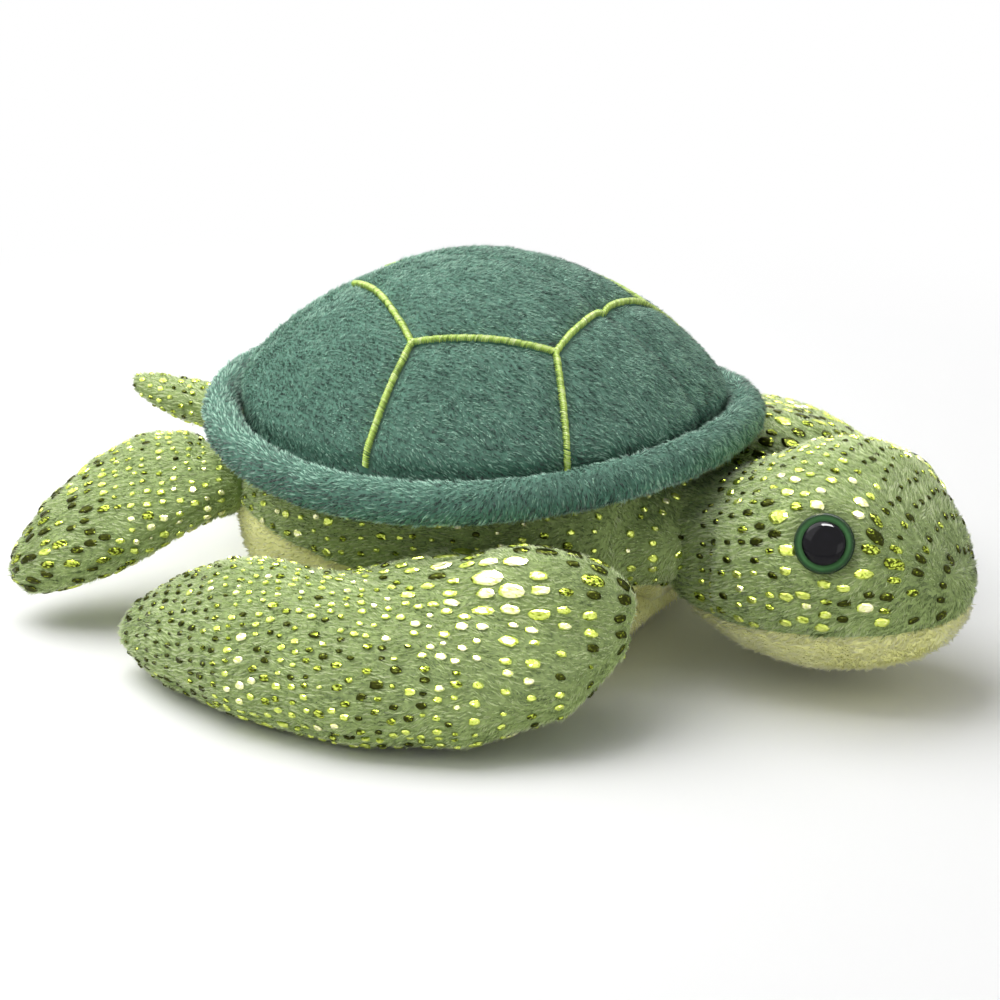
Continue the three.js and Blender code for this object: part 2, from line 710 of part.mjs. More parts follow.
function makeFlippers() {
  for (const [suffix, side] of [['_left', 1], ['_right', -1]]) {
    const [raise, ahead] = side > 0 ? [leftFlipperRaise, leftFlipperAhead] : [0, 0];
    const raises = leftRaiseShares.map((share) => share * raise);
    const front = torsoEdge(frontRootAngle - ahead, frontRootHeight, side);
    makeLimb('front_flipper', suffix,
      limbSections(frontShares, front, frontLength, frontSpan, frontThickness, side, raises),
      rootRoom(front, frontRootHalfLength, frontLiftLimit - raise, frontDropLimit));
    const rear = torsoEdge(rearRootAngle, rearRootHeight, side);
    makeLimb('rear_flipper', suffix,
      limbSections(rearShares, rear, rearLength, rearSpan, rearThickness, side),
      rootRoom(rear, rearRootHalfLength, rearLiftLimit, rearDropLimit));
  }
}

// Tail rows: place along it, rise, half width and thickness, as shares
const tailShares = [
  [0, 0, 0.8, 0.9],
  [0.3, 0.05, 0.95, 1],
  [0.55, 0.25, 1, 0.95],
  [0.78, 0.6, 0.8, 0.8],
  [0.93, 0.85, 0.5, 0.55],
  [1, 1, 0.22, 0.25],
];

function makeTail() {
  const root = torsoEdge(tailRootAngle, tailRootHeight, 1);
  const sections = tailShares.map(([along, rise, wide, thick]) => ({
    centre: new THREE.Vector3(root.point.x - along * tailLength, 0, tailRootHeight + rise * tailRise),
    across: new THREE.Vector3(0, (wide * tailWidth) / 2, 0),
    half: (thick * tailThickness) / 2,
    up: zAxis.clone(),
  }));
  makeLimb('tail', '', sections, rootRoom(root, tailWidth, tailLiftLimit, tailDropLimit + tailTuck));
}

makeTorso();
makeShell();
makeEmbroidery();
makeNeck();
makeHead();
makeFlippers();
makeTail();

export default group;
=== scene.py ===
# %% [markdown]
# # A plush sea turtle
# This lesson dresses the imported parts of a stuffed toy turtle: short pile cloth with foil dots, a
# padded shell with satin stitches, and plastic safety eyes. The shapes come from the frame, so
# every piece starts from the place and size that the parts already have.

import json
import math

import bpy
import numpy as np
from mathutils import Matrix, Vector
from mathutils.bvhtree import BVHTree
from mathutils.kdtree import KDTree

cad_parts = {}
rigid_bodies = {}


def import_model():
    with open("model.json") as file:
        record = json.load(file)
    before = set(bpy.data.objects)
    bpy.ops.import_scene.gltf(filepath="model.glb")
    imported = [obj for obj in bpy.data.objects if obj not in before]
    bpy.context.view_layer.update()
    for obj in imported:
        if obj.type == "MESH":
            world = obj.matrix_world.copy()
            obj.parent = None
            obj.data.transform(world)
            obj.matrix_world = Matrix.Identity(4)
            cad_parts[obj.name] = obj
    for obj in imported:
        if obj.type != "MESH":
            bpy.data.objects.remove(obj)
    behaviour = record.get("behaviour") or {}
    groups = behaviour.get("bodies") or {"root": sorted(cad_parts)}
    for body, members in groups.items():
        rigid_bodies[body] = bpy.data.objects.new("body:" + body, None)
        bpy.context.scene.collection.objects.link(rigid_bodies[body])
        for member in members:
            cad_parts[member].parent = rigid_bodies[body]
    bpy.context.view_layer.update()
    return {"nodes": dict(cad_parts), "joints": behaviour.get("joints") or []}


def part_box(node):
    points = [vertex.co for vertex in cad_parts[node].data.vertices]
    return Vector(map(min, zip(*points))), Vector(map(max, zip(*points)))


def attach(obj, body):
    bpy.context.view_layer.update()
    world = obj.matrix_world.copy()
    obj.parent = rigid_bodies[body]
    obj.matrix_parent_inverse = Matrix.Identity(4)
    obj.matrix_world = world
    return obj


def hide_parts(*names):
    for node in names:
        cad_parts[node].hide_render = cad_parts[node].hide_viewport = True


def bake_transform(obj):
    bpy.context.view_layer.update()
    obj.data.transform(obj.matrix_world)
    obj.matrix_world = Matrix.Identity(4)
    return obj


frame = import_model()
bpy.ops.object.select_all(action="DESELECT")
mm = 0.001

# %% [markdown]
# ## Camera
# The toy is seen from its right front, a little from above, with a long lens. The place of the
# camera is a direction from the toy's middle times a distance, and the lens is what fills the
# picture at that distance.

# %% Camera
aim = Vector((4 * mm, 0, 26 * mm))
turn, rise, distance = math.radians(28), math.radians(19), 0.7
away = Vector((math.sin(turn) * math.cos(rise), -math.cos(turn) * math.cos(rise), math.sin(rise)))
eye = bpy.data.objects.new("camera", bpy.data.cameras.new("camera"))
bpy.context.scene.collection.objects.link(eye)
eye.location = aim + away * distance
eye.rotation_euler = (-away).to_track_quat("-Z", "Y").to_euler()
eye.data.sensor_width, eye.data.lens, eye.data.clip_start = 36, 118.44, 0.01
bpy.context.scene.camera = eye
print("camera at", [round(x, 4) for x in eye.location])

# %% [markdown]
# ## Writing shaders as sums
# A material is a small web of nodes. Wrapping a socket in a class that knows plus, minus and times
# lets a pattern be written as a line of maths, and each operator adds its own Math node.


# %% Shader maths
class Wire:
    """A socket of a web of nodes, which can be added, multiplied and so on."""

    def __init__(self, web, socket):
        self.web, self.socket = web, socket

    def __add__(self, other):
        return self.web.maths("ADD", self, other)

    def __radd__(self, other):
        return self.web.maths("ADD", other, self)

    def __sub__(self, other):
        return self.web.maths("SUBTRACT", self, other)

    def __rsub__(self, other):
        return self.web.maths("SUBTRACT", other, self)

    def __mul__(self, other):
        return self.web.maths("MULTIPLY", self, other)

    def __rmul__(self, other):
        return self.web.maths("MULTIPLY", other, self)


class Web:
    """A web of shader nodes, written node by node."""

    def __init__(self, tree):
        self.tree = tree

    def node(self, kind, settings=None, inputs=None, out=0):
        """One node: its settings are set first, then its sockets get values or links."""
        made = self.tree.nodes.new(kind)
        for name, value in (settings or {}).items():
            if name == "stops":
                ramp = made.color_ramp
                while len(ramp.elements) < len(value):
                    ramp.elements.new(0.5)
                for element, (place, colour) in zip(ramp.elements, value):
                    element.position, element.color = place, colour
            else:
                setattr(made, name, value)
        for name, value in (inputs or {}).items():
            if isinstance(value, Wire):
                self.tree.links.new(value.socket, made.inputs[name])
            else:
                made.inputs[name].default_value = value
        return Wire(self, made.outputs[out])

    def maths(self, operation, first, second):
        return self.node("ShaderNodeMath", {"operation": operation}, {0: first, 1: second})


class Paint(Web):
    """A material. The values that it is made with are those of its shader's sockets."""

    def __init__(self, name, **shine):
        self.material = bpy.data.materials.new(name)
        self.material.use_nodes = True
        super().__init__(self.material.node_tree)
        self.shader = self.tree.nodes["Principled BSDF"]
        for socket, value in shine.items():
            self.shader.inputs[socket.replace("_", " ")].default_value = value

    def feed(self, socket, wire):
        self.tree.links.new(wire.socket, self.shader.inputs[socket])

    def surface(self, mask, first, second):
        """Shows two shaders, mixed by the mask, in place of the plain one."""
        both = self.node("ShaderNodeMixShader", {}, {0: mask, 1: first, 2: second})
        self.tree.links.new(both.socket, self.tree.nodes["Material Output"].inputs["Surface"])

    def value(self, name):
        """A number that the mesh holds for each of its points."""
        return self.node("ShaderNodeAttribute", {"attribute_name": name}, out="Fac")

    def noise(self, scale, detail=2.0, stretch=(1, 1, 1)):
        place = self.node("ShaderNodeTexCoord", out="Object")
        place = self.node("ShaderNodeMapping", {}, {"Vector": place, "Scale": stretch})
        return self.node("ShaderNodeTexNoise", {}, {"Vector": place, "Scale": scale, "Detail": detail})

    def mix(self, mask, first, second):
        """One colour where the mask is 0 and another where it is 1."""
        return self.node("ShaderNodeMix", {"data_type": "RGBA"}, {0: mask, 6: first, 7: second}, out=2)

    def ramp(self, wire, stops):
        """A colour for each value of the wire, from stops of a value and its colour."""
        return self.node("ShaderNodeValToRGB", {"stops": [(place, rgb(*colour)) for place, colour in stops]},
                         {"Fac": wire})

    def bump(self, height, depth, strength):
        normal = self.node("ShaderNodeBump", {}, {"Height": height, "Distance": depth, "Strength": strength})
        self.feed("Normal", normal)


def rgb(red, green, blue):
    """A colour as a picture shows it, 0 to 255, made ready for a shader."""
    shares = [c / 255 for c in (red, green, blue)]
    return tuple(c / 12.92 if c <= 0.04045 else ((c + 0.055) / 1.055) ** 2.4 for c in shares) + (1,)


print("a mid grey is", rgb(128, 128, 128))

# %% [markdown]
# ## Floor and light
# A photo of a toy is taken on a pale sheet under a wide soft lamp. Here the lamp stands over the
# toy's tail, and two weak ones fill the front and the head's side. The last one shows only in shiny
# surfaces: it gives the eyes and the foil a glint and the cloth no light. The sky looks white in
# reflections and to the camera, but lights the cloth at less than full strength, so that the
# shadows under the shell stay dark.

# %% Floor
scene = bpy.context.scene
scene.view_settings.view_transform = "Standard"
bpy.ops.mesh.primitive_plane_add(size=6)
floor = bpy.context.object
floor.name = "floor"
floor_paint = Paint("floor_pale", Roughness=0.9)
grain = floor_paint.noise(6, 2)
floor_paint.feed("Base Color", floor_paint.mix(grain, (0.88, 0.88, 0.88, 1), (0.91, 0.91, 0.91, 1)))
spot = floor_paint.node("ShaderNodeTexCoord", out="Object")
far = floor_paint.node("ShaderNodeVectorMath", {"operation": "LENGTH"}, {0: spot}, out="Value")
sheet_edge, white_edge = 0.14, 0.34
fade = floor_paint.node(
    "ShaderNodeMapRange", {"interpolation_type": "SMOOTHSTEP"}, {"Value": far, 1: sheet_edge, 2: white_edge})
camera_ray = floor_paint.node("ShaderNodeLightPath", out="Is Camera Ray")
white = floor_paint.node("ShaderNodeEmission", {}, {"Color": (1, 1, 1, 1), "Strength": 1.0})
floor_paint.surface(fade * camera_ray, Wire(floor_paint, floor_paint.shader.outputs[0]), white)
floor.data.materials.append(floor_paint.material)
print("floor fades to white from", sheet_edge, "to", white_edge, "m")

# %% Sky and lamps
sky = bpy.data.worlds.new("sky")
scene.world = sky
sky.use_nodes = True
air = Web(sky.node_tree)
camera_ray = air.node("ShaderNodeLightPath", out="Is Camera Ray")
glossy_ray, clear_ray = (Wire(air, camera_ray.socket.node.outputs[kind])
                         for kind in ("Is Glossy Ray", "Is Transmission Ray"))
seen = air.maths("MAXIMUM", camera_ray, air.maths("MAXIMUM", glossy_ray, clear_ray))
strength = air.node("ShaderNodeMapRange", {}, {"Value": seen, "To Min": 0.3, "To Max": 1.0})
background = air.tree.nodes["Background"]
air.tree.links.new(strength.socket, background.inputs["Strength"])
background.inputs["Color"].default_value = (1, 1, 1, 1)


def lamp(name, place, size, power):
    """A square lamp that faces the toy."""
    bpy.ops.object.light_add(type="AREA", location=place)
    made = bpy.context.object
    made.name = name
    made.data.shape, made.data.size, made.data.energy = "SQUARE", size, power
    made.rotation_euler = (Vector(place) - aim).to_track_quat("Z", "Y").to_euler()
    return made


lamp("lamp_over", (-0.36, -0.02, 0.72), 0.8, 7.2)
lamp("lamp_front", (-0.3, -0.5, 0.55), 0.5, 0.9)
lamp("lamp_side", (0.7, -0.42, 0.08), 0.5, 0.8)
glint = lamp("lamp_glint", (0.109, -0.167, 0.825), 0.42, 17)
glint.data.shape, glint.data.size_y = "RECTANGLE", 0.24
glint.visible_diffuse = False

# %% [markdown]
# ## Reading and writing meshes in bulk
# Cloth needs thousands of points, so they are read and written as arrays. Smooth random numbers,
# the same in every run, give the small unevenness that sewn cloth has.


# %% Arrays of points
def places(thing):
    """The points of a mesh, one row each."""
    found = np.empty(len(thing.data.vertices) * 3, np.float32)
    thing.data.vertices.foreach_get("co", found)
    return found.reshape(-1, 3).astype(float)


def put(thing, rows):
    thing.data.vertices.foreach_set("co", rows.astype(np.float32).ravel())
    thing.data.update()


def outward(thing):
    """The direction that the surface faces at each point."""
    found = np.empty(len(thing.data.vertices) * 3, np.float32)
    thing.data.vertex_normals.foreach_get("vector", found)
    return found.reshape(-1, 3).astype(float)


def unit(rows):
    return rows / np.maximum(np.linalg.norm(rows, axis=-1, keepdims=True), 1e-9)


def ease(low, high, value):
    share = np.clip((value - low) / (high - low), 0, 1)
    return share * share * (3 - 2 * share)


# %% Random waves
def wander(rows, size, seed, channels=1):
    """Smooth random numbers from -1 to 1 that change over the given size."""
    period = 24
    grid = np.random.default_rng(seed).uniform(-1, 1, (period, period, period, channels))
    cell = np.floor(rows / size).astype(int)
    part = rows / size - cell
    part = part * part * (3 - 2 * part)
    total = 0
    for corner in np.ndindex(2, 2, 2):
        weight = np.prod(np.where(corner, part, 1 - part), axis=1)
        x, y, z = ((cell + corner) % period).T
        total = total + weight[:, None] * grid[x, y, z]
    return total if channels > 1 else total[:, 0]


# %% Making and editing meshes
def only(*things):
    """Selects these objects and nothing else."""
    bpy.ops.object.select_all(action="DESELECT")
    for thing in things:
        thing.select_set(True)
    bpy.context.view_layer.objects.active = things[0]


def edit(thing, step, **settings):
    """Runs one mesh operation on the whole of a mesh."""
    only(thing)
    bpy.ops.object.mode_set(mode="EDIT")
    bpy.ops.mesh.select_all(action="SELECT")
    step(**settings)
    bpy.ops.object.mode_set(mode="OBJECT")


def shape(thing, kind, **settings):
    """Adds a modifier with these settings and applies it."""
    modifier = thing.modifiers.new(kind.lower(), kind)
    for name, value in settings.items():
        setattr(modifier, name, value)
    only(thing)
    bpy.ops.object.modifier_apply(modifier=modifier.name)


def make(name, rows, faces, paint):
    """A new mesh object from rows of points and faces."""
    mesh = bpy.data.meshes.new(name)
    mesh.from_pydata(rows.tolist(), [], faces.tolist() if isinstance(faces, np.ndarray) else faces)
    made = bpy.data.objects.new(name, mesh)
    scene.collection.objects.link(made)
    mesh.shade_smooth()
    mesh.materials.append(paint.material)
    return made


def mark(thing, name, numbers):
    """Stores a number with each point of a mesh, for its paint to read."""
    held = thing.data.attributes.new(name, "FLOAT", "POINT")
    held.data.foreach_set("value", np.array(numbers, np.float32))


# %% Distances
def nearest(thing):
    """A tree that finds the nearest place on a mesh."""
    return BVHTree.FromPolygons([v.co for v in thing.data.vertices], [p.vertices for p in thing.data.polygons])


trees = {}


def distance_to(node, rows):
    """How far each row is from a part of the frame."""
    if node not in trees:
        trees[node] = nearest(frame["nodes"][node])
    return np.array([trees[node].find_nearest(row)[3] for row in rows])


def seam_gap(rows, seams):
    """How far each row is from the nearest of the seams between pairs of panels."""
    return np.min([np.maximum(distance_to(a, rows), distance_to(b, rows)) for a, b in seams], axis=0)


def beside_line(rows, start, end):
    """How far along a straight line each row is, from 0 to 1, and how far from it."""
    step = end - start
    share = np.clip((rows - start) @ step / (step @ step), 0, 1)
    return share, np.linalg.norm(rows - start - share[:, None] * step, axis=1)


print("points of the belly panel:", len(places(frame["nodes"]["belly_panel"])))


# %% [markdown]
# ## Filled forms
# A stuffed limb is two panels sewn round their edge and blown up by its filling. The recipe: copy
# the panels and the filling, melt them into one closed skin with a voxel remesh, then let a cloth
# simulation with inner pressure swell it while the seams are held. How far a point may move is
# capped, so that the toy keeps its size. The seams are then pulled in, because thread does that.


# %% Melt, swell and sew
def melt(name, nodes, grain, pads=()):
    """One closed skin round these parts of the frame and the extra pads."""
    copies = list(pads)
    for node in nodes:
        copy = bpy.data.objects.new(name, frame["nodes"][node].data.copy())
        scene.collection.objects.link(copy)
        copies.append(copy)
    only(*copies)
    if len(copies) > 1:
        bpy.ops.object.join()
    made = bpy.context.view_layer.objects.active
    made.name = made.data.name = name
    edit(made, bpy.ops.mesh.remove_doubles, threshold=1e-6)
    shape(made, "REMESH", mode="VOXEL", voxel_size=grain)
    made.data.materials.clear()
    shape(made, "SMOOTH", iterations=3, factor=0.5)
    return made


def swell(thing, held, most):
    """Lets the filling press the skin outwards, by no more than the cap."""
    before = places(thing)
    group = thing.vertex_groups.new(name="held")
    for index in np.flatnonzero(held > 0.02):
        group.add([int(index)], float(held[index]), "REPLACE")
    cloth = thing.modifiers.new("filling", "CLOTH")
    cloth.settings.use_pressure = True
    cloth.settings.uniform_pressure_force = 5.0
    cloth.settings.effector_weights.gravity = 0
    cloth.settings.vertex_group_mass = "held"
    last_frame = 20
    cloth.point_cache.frame_start, cloth.point_cache.frame_end = 1, last_frame
    for step in range(1, last_frame + 1):
        scene.frame_set(step)
    only(thing)
    bpy.ops.object.modifier_apply(modifier="filling")
    scene.frame_set(1)
    moved = places(thing) - before
    far = np.linalg.norm(moved, axis=1, keepdims=True)
    put(thing, before + moved * np.minimum(1, most / np.maximum(far, 1e-9)))
    thing.vertex_groups.clear()
    print(thing.name, "swells by %.2f mm at most" % (min(far.max(), most) / mm))


def finer(thing):
    shape(thing, "SUBSURF", levels=1, render_levels=1)
    thing.data.shade_smooth()


def sew(thing, seams, inset, depth, width, swelling=1.0):
    """Swells a melted form, makes it finer, and pulls its seams in. All lengths are millimetres."""
    thread_reach, stitch_gap = 1.5 * mm, 0.3 * mm
    gap = seam_gap(places(thing), seams)
    swell(thing, 1 - ease(0, thread_reach, gap - stitch_gap), swelling * mm)
    shape(thing, "SMOOTH", iterations=2, factor=0.5)
    finer(thing)
    gap = seam_gap(places(thing), seams)
    pull = np.exp(-((gap / (width * mm)) ** 2)) * depth + inset
    ripple = wander(places(thing), 9 * mm, 3) * 0.25
    put(thing, places(thing) - outward(thing) * ((pull - ripple) * mm)[:, None])


def part_in_two(thing, point, normal, names):
    """Cuts a filled form along a plane into two closed pieces: first the side that the normal points to."""
    halves = []
    for name, sign in zip(names, (1, -1)):
        half = bpy.data.objects.new(name, thing.data.copy())
        scene.collection.objects.link(half)
        edit(half, bpy.ops.mesh.bisect, plane_co=point, plane_no=[sign * n for n in normal],
             use_fill=True, clear_inner=True)
        half.data.name = name
        halves.append(half)
    bpy.data.objects.remove(thing)
    return halves


def pad(centre, radii, direction):
    """An egg of filling, its first radius along the given level direction."""
    angle = math.atan2(direction[1], direction[0])
    bpy.ops.mesh.primitive_uv_sphere_add(segments=24, ring_count=16, radius=1, location=centre, rotation=(0, 0, angle))
    made = bpy.context.object
    made.scale = radii
    bpy.ops.object.transform_apply(location=True, rotation=True, scale=True)
    return made


# %% [markdown]
# ## Shell
# Two teal panels meet in a seam along the spine, and the filling crowns them. The embroidered
# lines hold the cloth down, so the skin dips along them. The real dome could be turned on a lathe,
# but then it would look hard: the filled form has the sag of cloth.

# %% Shell corners
half_length, half_width = 50.9 * mm, 49.9 * mm
corners = {
    "rear_spine": (-0.53, 0.13), "rear_flank": (0.01, 0.62), "front_flank": (0.535, 0.405),
    "front_spine": (0.54, 0.008), "rear_rim": (0, 0.98), "front_rim": (0.72, 0.665),
}
runs = [("rear_spine", "rear_flank"), ("rear_flank", "front_flank"), ("front_flank", "front_spine"),
        ("rear_flank", "rear_rim"), ("front_flank", "front_rim")]


def run_ends(run, side):
    """The two ends of an embroidered line, seen from above."""
    return [np.array([corners[name][0] * half_length, side * corners[name][1] * half_width]) for name in run]


def distance_to_runs(rows):
    """How far each point is, seen from above, from the nearest embroidered line."""
    return np.min([beside_line(rows[:, :2], *run_ends(run, side))[1] for side in (1, -1) for run in runs], axis=0)


print("embroidered lines on a side:", len(runs))

# %% Shell form
shell_seams = [("shell_panel_left", "shell_panel_right")]
line_dip, spine_dip, crown_rise, foot_rise, rim_sag = 1.2, 0.7, 2.1, 1.1, 1.4
dome = melt("shell_cover", ["shell_panel_left", "shell_panel_right", "shell_stuffing", "shell_lining"], 1.7 * mm)
sew(dome, shell_seams, 0.7, 0.9, 1.6)
rows = places(dome)
dip = np.exp(-((distance_to_runs(rows) / (2.8 * mm)) ** 2)) * line_dip
spine = np.exp(-((rows[:, 1] / (5 * mm)) ** 2)) * spine_dip * ease(8 * mm, 30 * mm, np.abs(rows[:, 0] - 5 * mm))
above = ease(44 * mm, 50 * mm, rows[:, 2])
full = np.sin(math.pi * np.clip((rows[:, 2] / mm - 46) / 33, 0, 1)) * crown_rise
foot = np.exp(-(((rows[:, 2] / mm - 44) / 2.5) ** 2)) * foot_rise
put(dome, rows - outward(dome) * (((dip + spine - full) * above - foot) * mm)[:, None])
shell_left, shell_right = part_in_two(dome, (0, 0, 0), (0, 1, 0), ("shell_cover_left", "shell_cover_right"))
rim = melt("shell_rim_roll", ["shell_rim"], 1.2 * mm)
rows = places(rim)
sag = (rows[:, 1] / (54 * mm)) ** 2 * rim_sag * mm
put(rim, rows - outward(rim) * 0.05 * mm - sag[:, None] * [0, 0, 1])
finer(rim)
print("shell:", len(shell_left.data.polygons), len(shell_right.data.polygons), len(rim.data.polygons))

# %% [markdown]
# ## Torso, neck and head
# Each is a filled form in two cloths, green above and yellow below. The form is swollen first and
# cut along its seam plane afterwards, so the two cloths meet without a gap.

# %% Torso and neck forms
collar = pad(Vector((46, 0, 27.5)) * mm, (12 * mm, 23 * mm, 12.5 * mm), (1, 0))
torso = melt("torso", ["body_side_panel", "belly_panel", "torso_stuffing"], 1.9 * mm, [collar])
sew(torso, [("body_side_panel", "belly_panel")], 0.8, 0.9, 1.5)
belly_height, fall = 23.5 * mm, math.radians(5.5)
body_side, belly = part_in_two(
    torso, (0, 0, belly_height), (math.sin(fall), 0, math.cos(fall)), ("body_side_cover", "belly_cover"))
neck = melt("neck", ["neck_upper_panel", "neck_lower_panel", "neck_stuffing"], 1.5 * mm)
sew(neck, [("neck_upper_panel", "neck_lower_panel")], -0.8, 0.5, 1.5)
neck_upper, neck_lower = part_in_two(
    neck, (0, 0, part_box("neck_lower_panel")[1].z), (0, 0, 1), ("neck_cover_upper", "neck_cover_lower"))
print("torso and neck:", [len(thing.data.polygons) for thing in (body_side, belly, neck_upper, neck_lower)])

# %% [markdown]
# The head's cloth rises in a soft brow round each eye, where the eye's stem pulls its middle in. A
# short dart, a fold sewn shut, runs from the neck towards the top of each eye.

# %% Head form
head = melt("head", ["head_crown_panel", "head_chin_panel", "head_stuffing"], 1.6 * mm)
sew(head, [("head_crown_panel", "head_chin_panel")], 0.8, 0.8, 1.5)
eyes = {}
for side in ("left", "right"):
    lens, washer = (sum(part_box(node + side), Vector()) / 2 for node in ("eye_lens_", "eye_washer_"))
    eyes[side] = (lens, (lens - washer).normalized())
    rows = places(head)
    gap = np.linalg.norm(rows - np.array(lens), axis=1)
    brow = 1.1 * np.exp(-(((gap / mm - 9.5) / 2.6) ** 2)) - 0.2 * np.exp(-((gap / (7.0 * mm)) ** 4))
    put(head, rows + outward(head) * (brow * mm)[:, None])
dart_start, dart_end = np.array([(52, 11, 37), (72, 15, 45)]) * mm
dart_depth, dart_width = 1.6 * mm, 2.2 * mm
rows = places(head)
share, gap = beside_line(rows * [1, 0, 1] + np.abs(rows * [0, 1, 0]), dart_start, dart_end)
put(head, rows - outward(head) * (np.exp(-((gap / dart_width) ** 2)) * (1 - share ** 2) * dart_depth)[:, None])
chin_height, chin_rise = 11.5 * mm, math.radians(4)
crown, chin = part_in_two(head, (0, 0, chin_height), (-math.sin(chin_rise), 0, math.cos(chin_rise)),
                          ("head_cover_crown", "head_cover_chin"))
print("head:", len(crown.data.polygons), len(chin.data.polygons), "eyes:", eyes)

# %% [markdown]
# ## Flippers and tail
# A limb is sewn shut and then sewn to the body. A pad at its root closes the crease between the
# two. The near front flipper has a full shoulder ahead of its root, so it gets a second pad.

# %% Limb forms
roots, limbs = {}, {}
for joint in frame["joints"]:
    if joint["parent"] == "torso" and joint["child"] != "neck":
        limb, root, hinge = joint["child"], Vector(joint["pos_m"]), Vector(joint["axis"])
        out = hinge.cross(Vector((0, 0, 1))).normalized()
        low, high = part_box(limb.replace("flipper", "flipper_stuffing") if "flipper" in limb else "tail_stuffing")
        if out.dot((low + high) / 2 - root) < 0:
            out = -out
        roots[limb] = (root, hinge, out)

root_pads = {"front": (14.5, 8.0, 8.5), "rear": (10.5, 7.5, 7.5), "tail": (6.0, 6.0, 4.6)}
shoulder_pad = (21, 10.5, 11.5)
for limb, (root, hinge, out) in roots.items():
    kind, side = limb.split("_")[0], limb.split("_")[-1]
    names = (["tail_upper_panel", "tail_lower_panel", "tail_stuffing"] if kind == "tail" else
             [f"{kind}_flipper_{part}_{side}" for part in ("upper_panel", "lower_panel", "stuffing")])
    fill = [pad(root + out * 1.5 * mm, [radius * mm for radius in root_pads[kind]], hinge)]
    if limb == "front_flipper_right":
        ahead = hinge * math.copysign(17, hinge.x) * mm
        fill.append(pad(root + ahead + out * 12 * mm + Vector((0, 0, 2.3 * mm)),
                        [radius * mm for radius in shoulder_pad], hinge))
    cover = melt(limb + "_cover", names, (1.3 if kind == "front" else 1.1) * mm, fill)
    depth, swelling = (0.4, 0.4) if kind == "tail" else (0.9, 1.2)
    sew(cover, [(names[0], names[1])], 0.7, depth, 1.3, swelling)
    limbs[limb] = (cover, names)
    print(limb, len(cover.data.polygons))


def limb_way(limb):
    """The way from a limb's broad end to its tip. The front flippers are swept back."""
    if limb.startswith("front"):
        return Vector((-1, -0.35 if limb.endswith("right") else 0.35, 0))
    return roots[limb][2]


# %% [markdown]
# ## Pile
# The cloth is a short pile: thousands of soft hairs that lie one way and cling together in small
# tufts. One hair is a thin spike of three sides. It is planted over the skin at random but even
# places, leans along the pile's way, and its tip is drawn towards the middle of its tuft. The
# skin under it is painted dark, a painted shade that shows between the tufts.

# %% Colours of the cloths
# Root, middle and tip colour of each cloth; the roots' darker colour is painted shade deep in the pile.
cloths = {
    "teal": ((16, 52, 42), (106, 162, 138), (206, 252, 228)),
    "green": ((84, 108, 52), (196, 218, 140), (244, 254, 204)),
    "yellow": ((240, 240, 156), (254, 255, 184), (255, 255, 220)),
}


def pile_paint(name, colours):
    """Dark at the root, a painted shade deep in the pile, and light at the tip, a little different from hair to hair.
    """
    paint = Paint(name, Roughness=0.85, Sheen_Weight=0.25, Sheen_Roughness=0.4)
    patch = paint.noise(120, 2)
    tone = paint.value("tone") + (patch - 0.5) * 0.25
    paint.feed("Base Color", paint.ramp(tone, zip((0, 0.45, 1), colours)))
    return paint


def shaded_ground_paint(name, colours):
    """The knitted ground under the pile, in the root and middle colours: a painted shade that shows between the tufts.
    """
    paint = Paint(name, Roughness=0.95)
    knit = paint.noise(900, 2)
    paint.feed("Base Color", paint.mix(knit, rgb(*colours[0]), rgb(*colours[1])))
    paint.bump(knit, 0.0003, 0.6)
    return paint


pile_paints = {key: pile_paint(key + "_pile", value) for key, value in cloths.items()}
ground_paints = {key: shaded_ground_paint(key + "_ground", value) for key, value in cloths.items()}
grounds = [(shell_left, "teal"), (shell_right, "teal"), (rim, "teal"), (body_side, "green"), (belly, "yellow"),
           (neck_upper, "green"), (neck_lower, "yellow"), (crown, "green"), (chin, "yellow")]
for thing, cloth in grounds + [(cover, "green") for cover, _ in limbs.values()]:
    thing.data.materials.clear()
    thing.data.materials.append(ground_paints[cloth].material)
print("cloths:", list(cloths))


# %% [markdown]
# The hairs could be particles, but those are lines without thickness, which a mesh file can't hold.
# So each is a spike of four faces, and all of a cloth's hairs are one mesh. Every triangle of the
# skin gets its share of hairs by its size, so the pile is as thick everywhere.


# %% Where the hairs stand
def spread(thing, per_square_mm, keep, seed):
    """Even random places on a mesh, with the direction that the skin faces there."""
    rng = np.random.default_rng(seed)
    mesh = thing.data
    mesh.calc_loop_triangles()
    corners_of = np.empty(len(mesh.loop_triangles) * 3, np.int32)
    mesh.loop_triangles.foreach_get("vertices", corners_of)
    corners_of = corners_of.reshape(-1, 3).T
    (a, b, c), (na, nb, nc) = places(thing)[corners_of], outward(thing)[corners_of]
    middle = (a + b + c) / 3
    size = np.linalg.norm(np.cross(b - a, c - a), axis=1) / 2
    size = size * keep(middle, unit(na + nb + nc))
    total = size.cumsum()
    count = int(total[-1] / (mm * mm) * per_square_mm)
    marks = (np.arange(count) + rng.random(count)) / count * total[-1]
    chosen = np.minimum(np.searchsorted(total, marks), len(size) - 1)
    u, v = rng.random(count), rng.random(count)
    flip = u + v > 1
    u[flip], v[flip] = 1 - u[flip], 1 - v[flip]
    u, v = u[:, None], v[:, None]
    rows = a[chosen] * (1 - u - v) + b[chosen] * u + c[chosen] * v
    facing = unit(na[chosen] * (1 - u - v) + nb[chosen] * u + nc[chosen] * v)
    return rows, facing


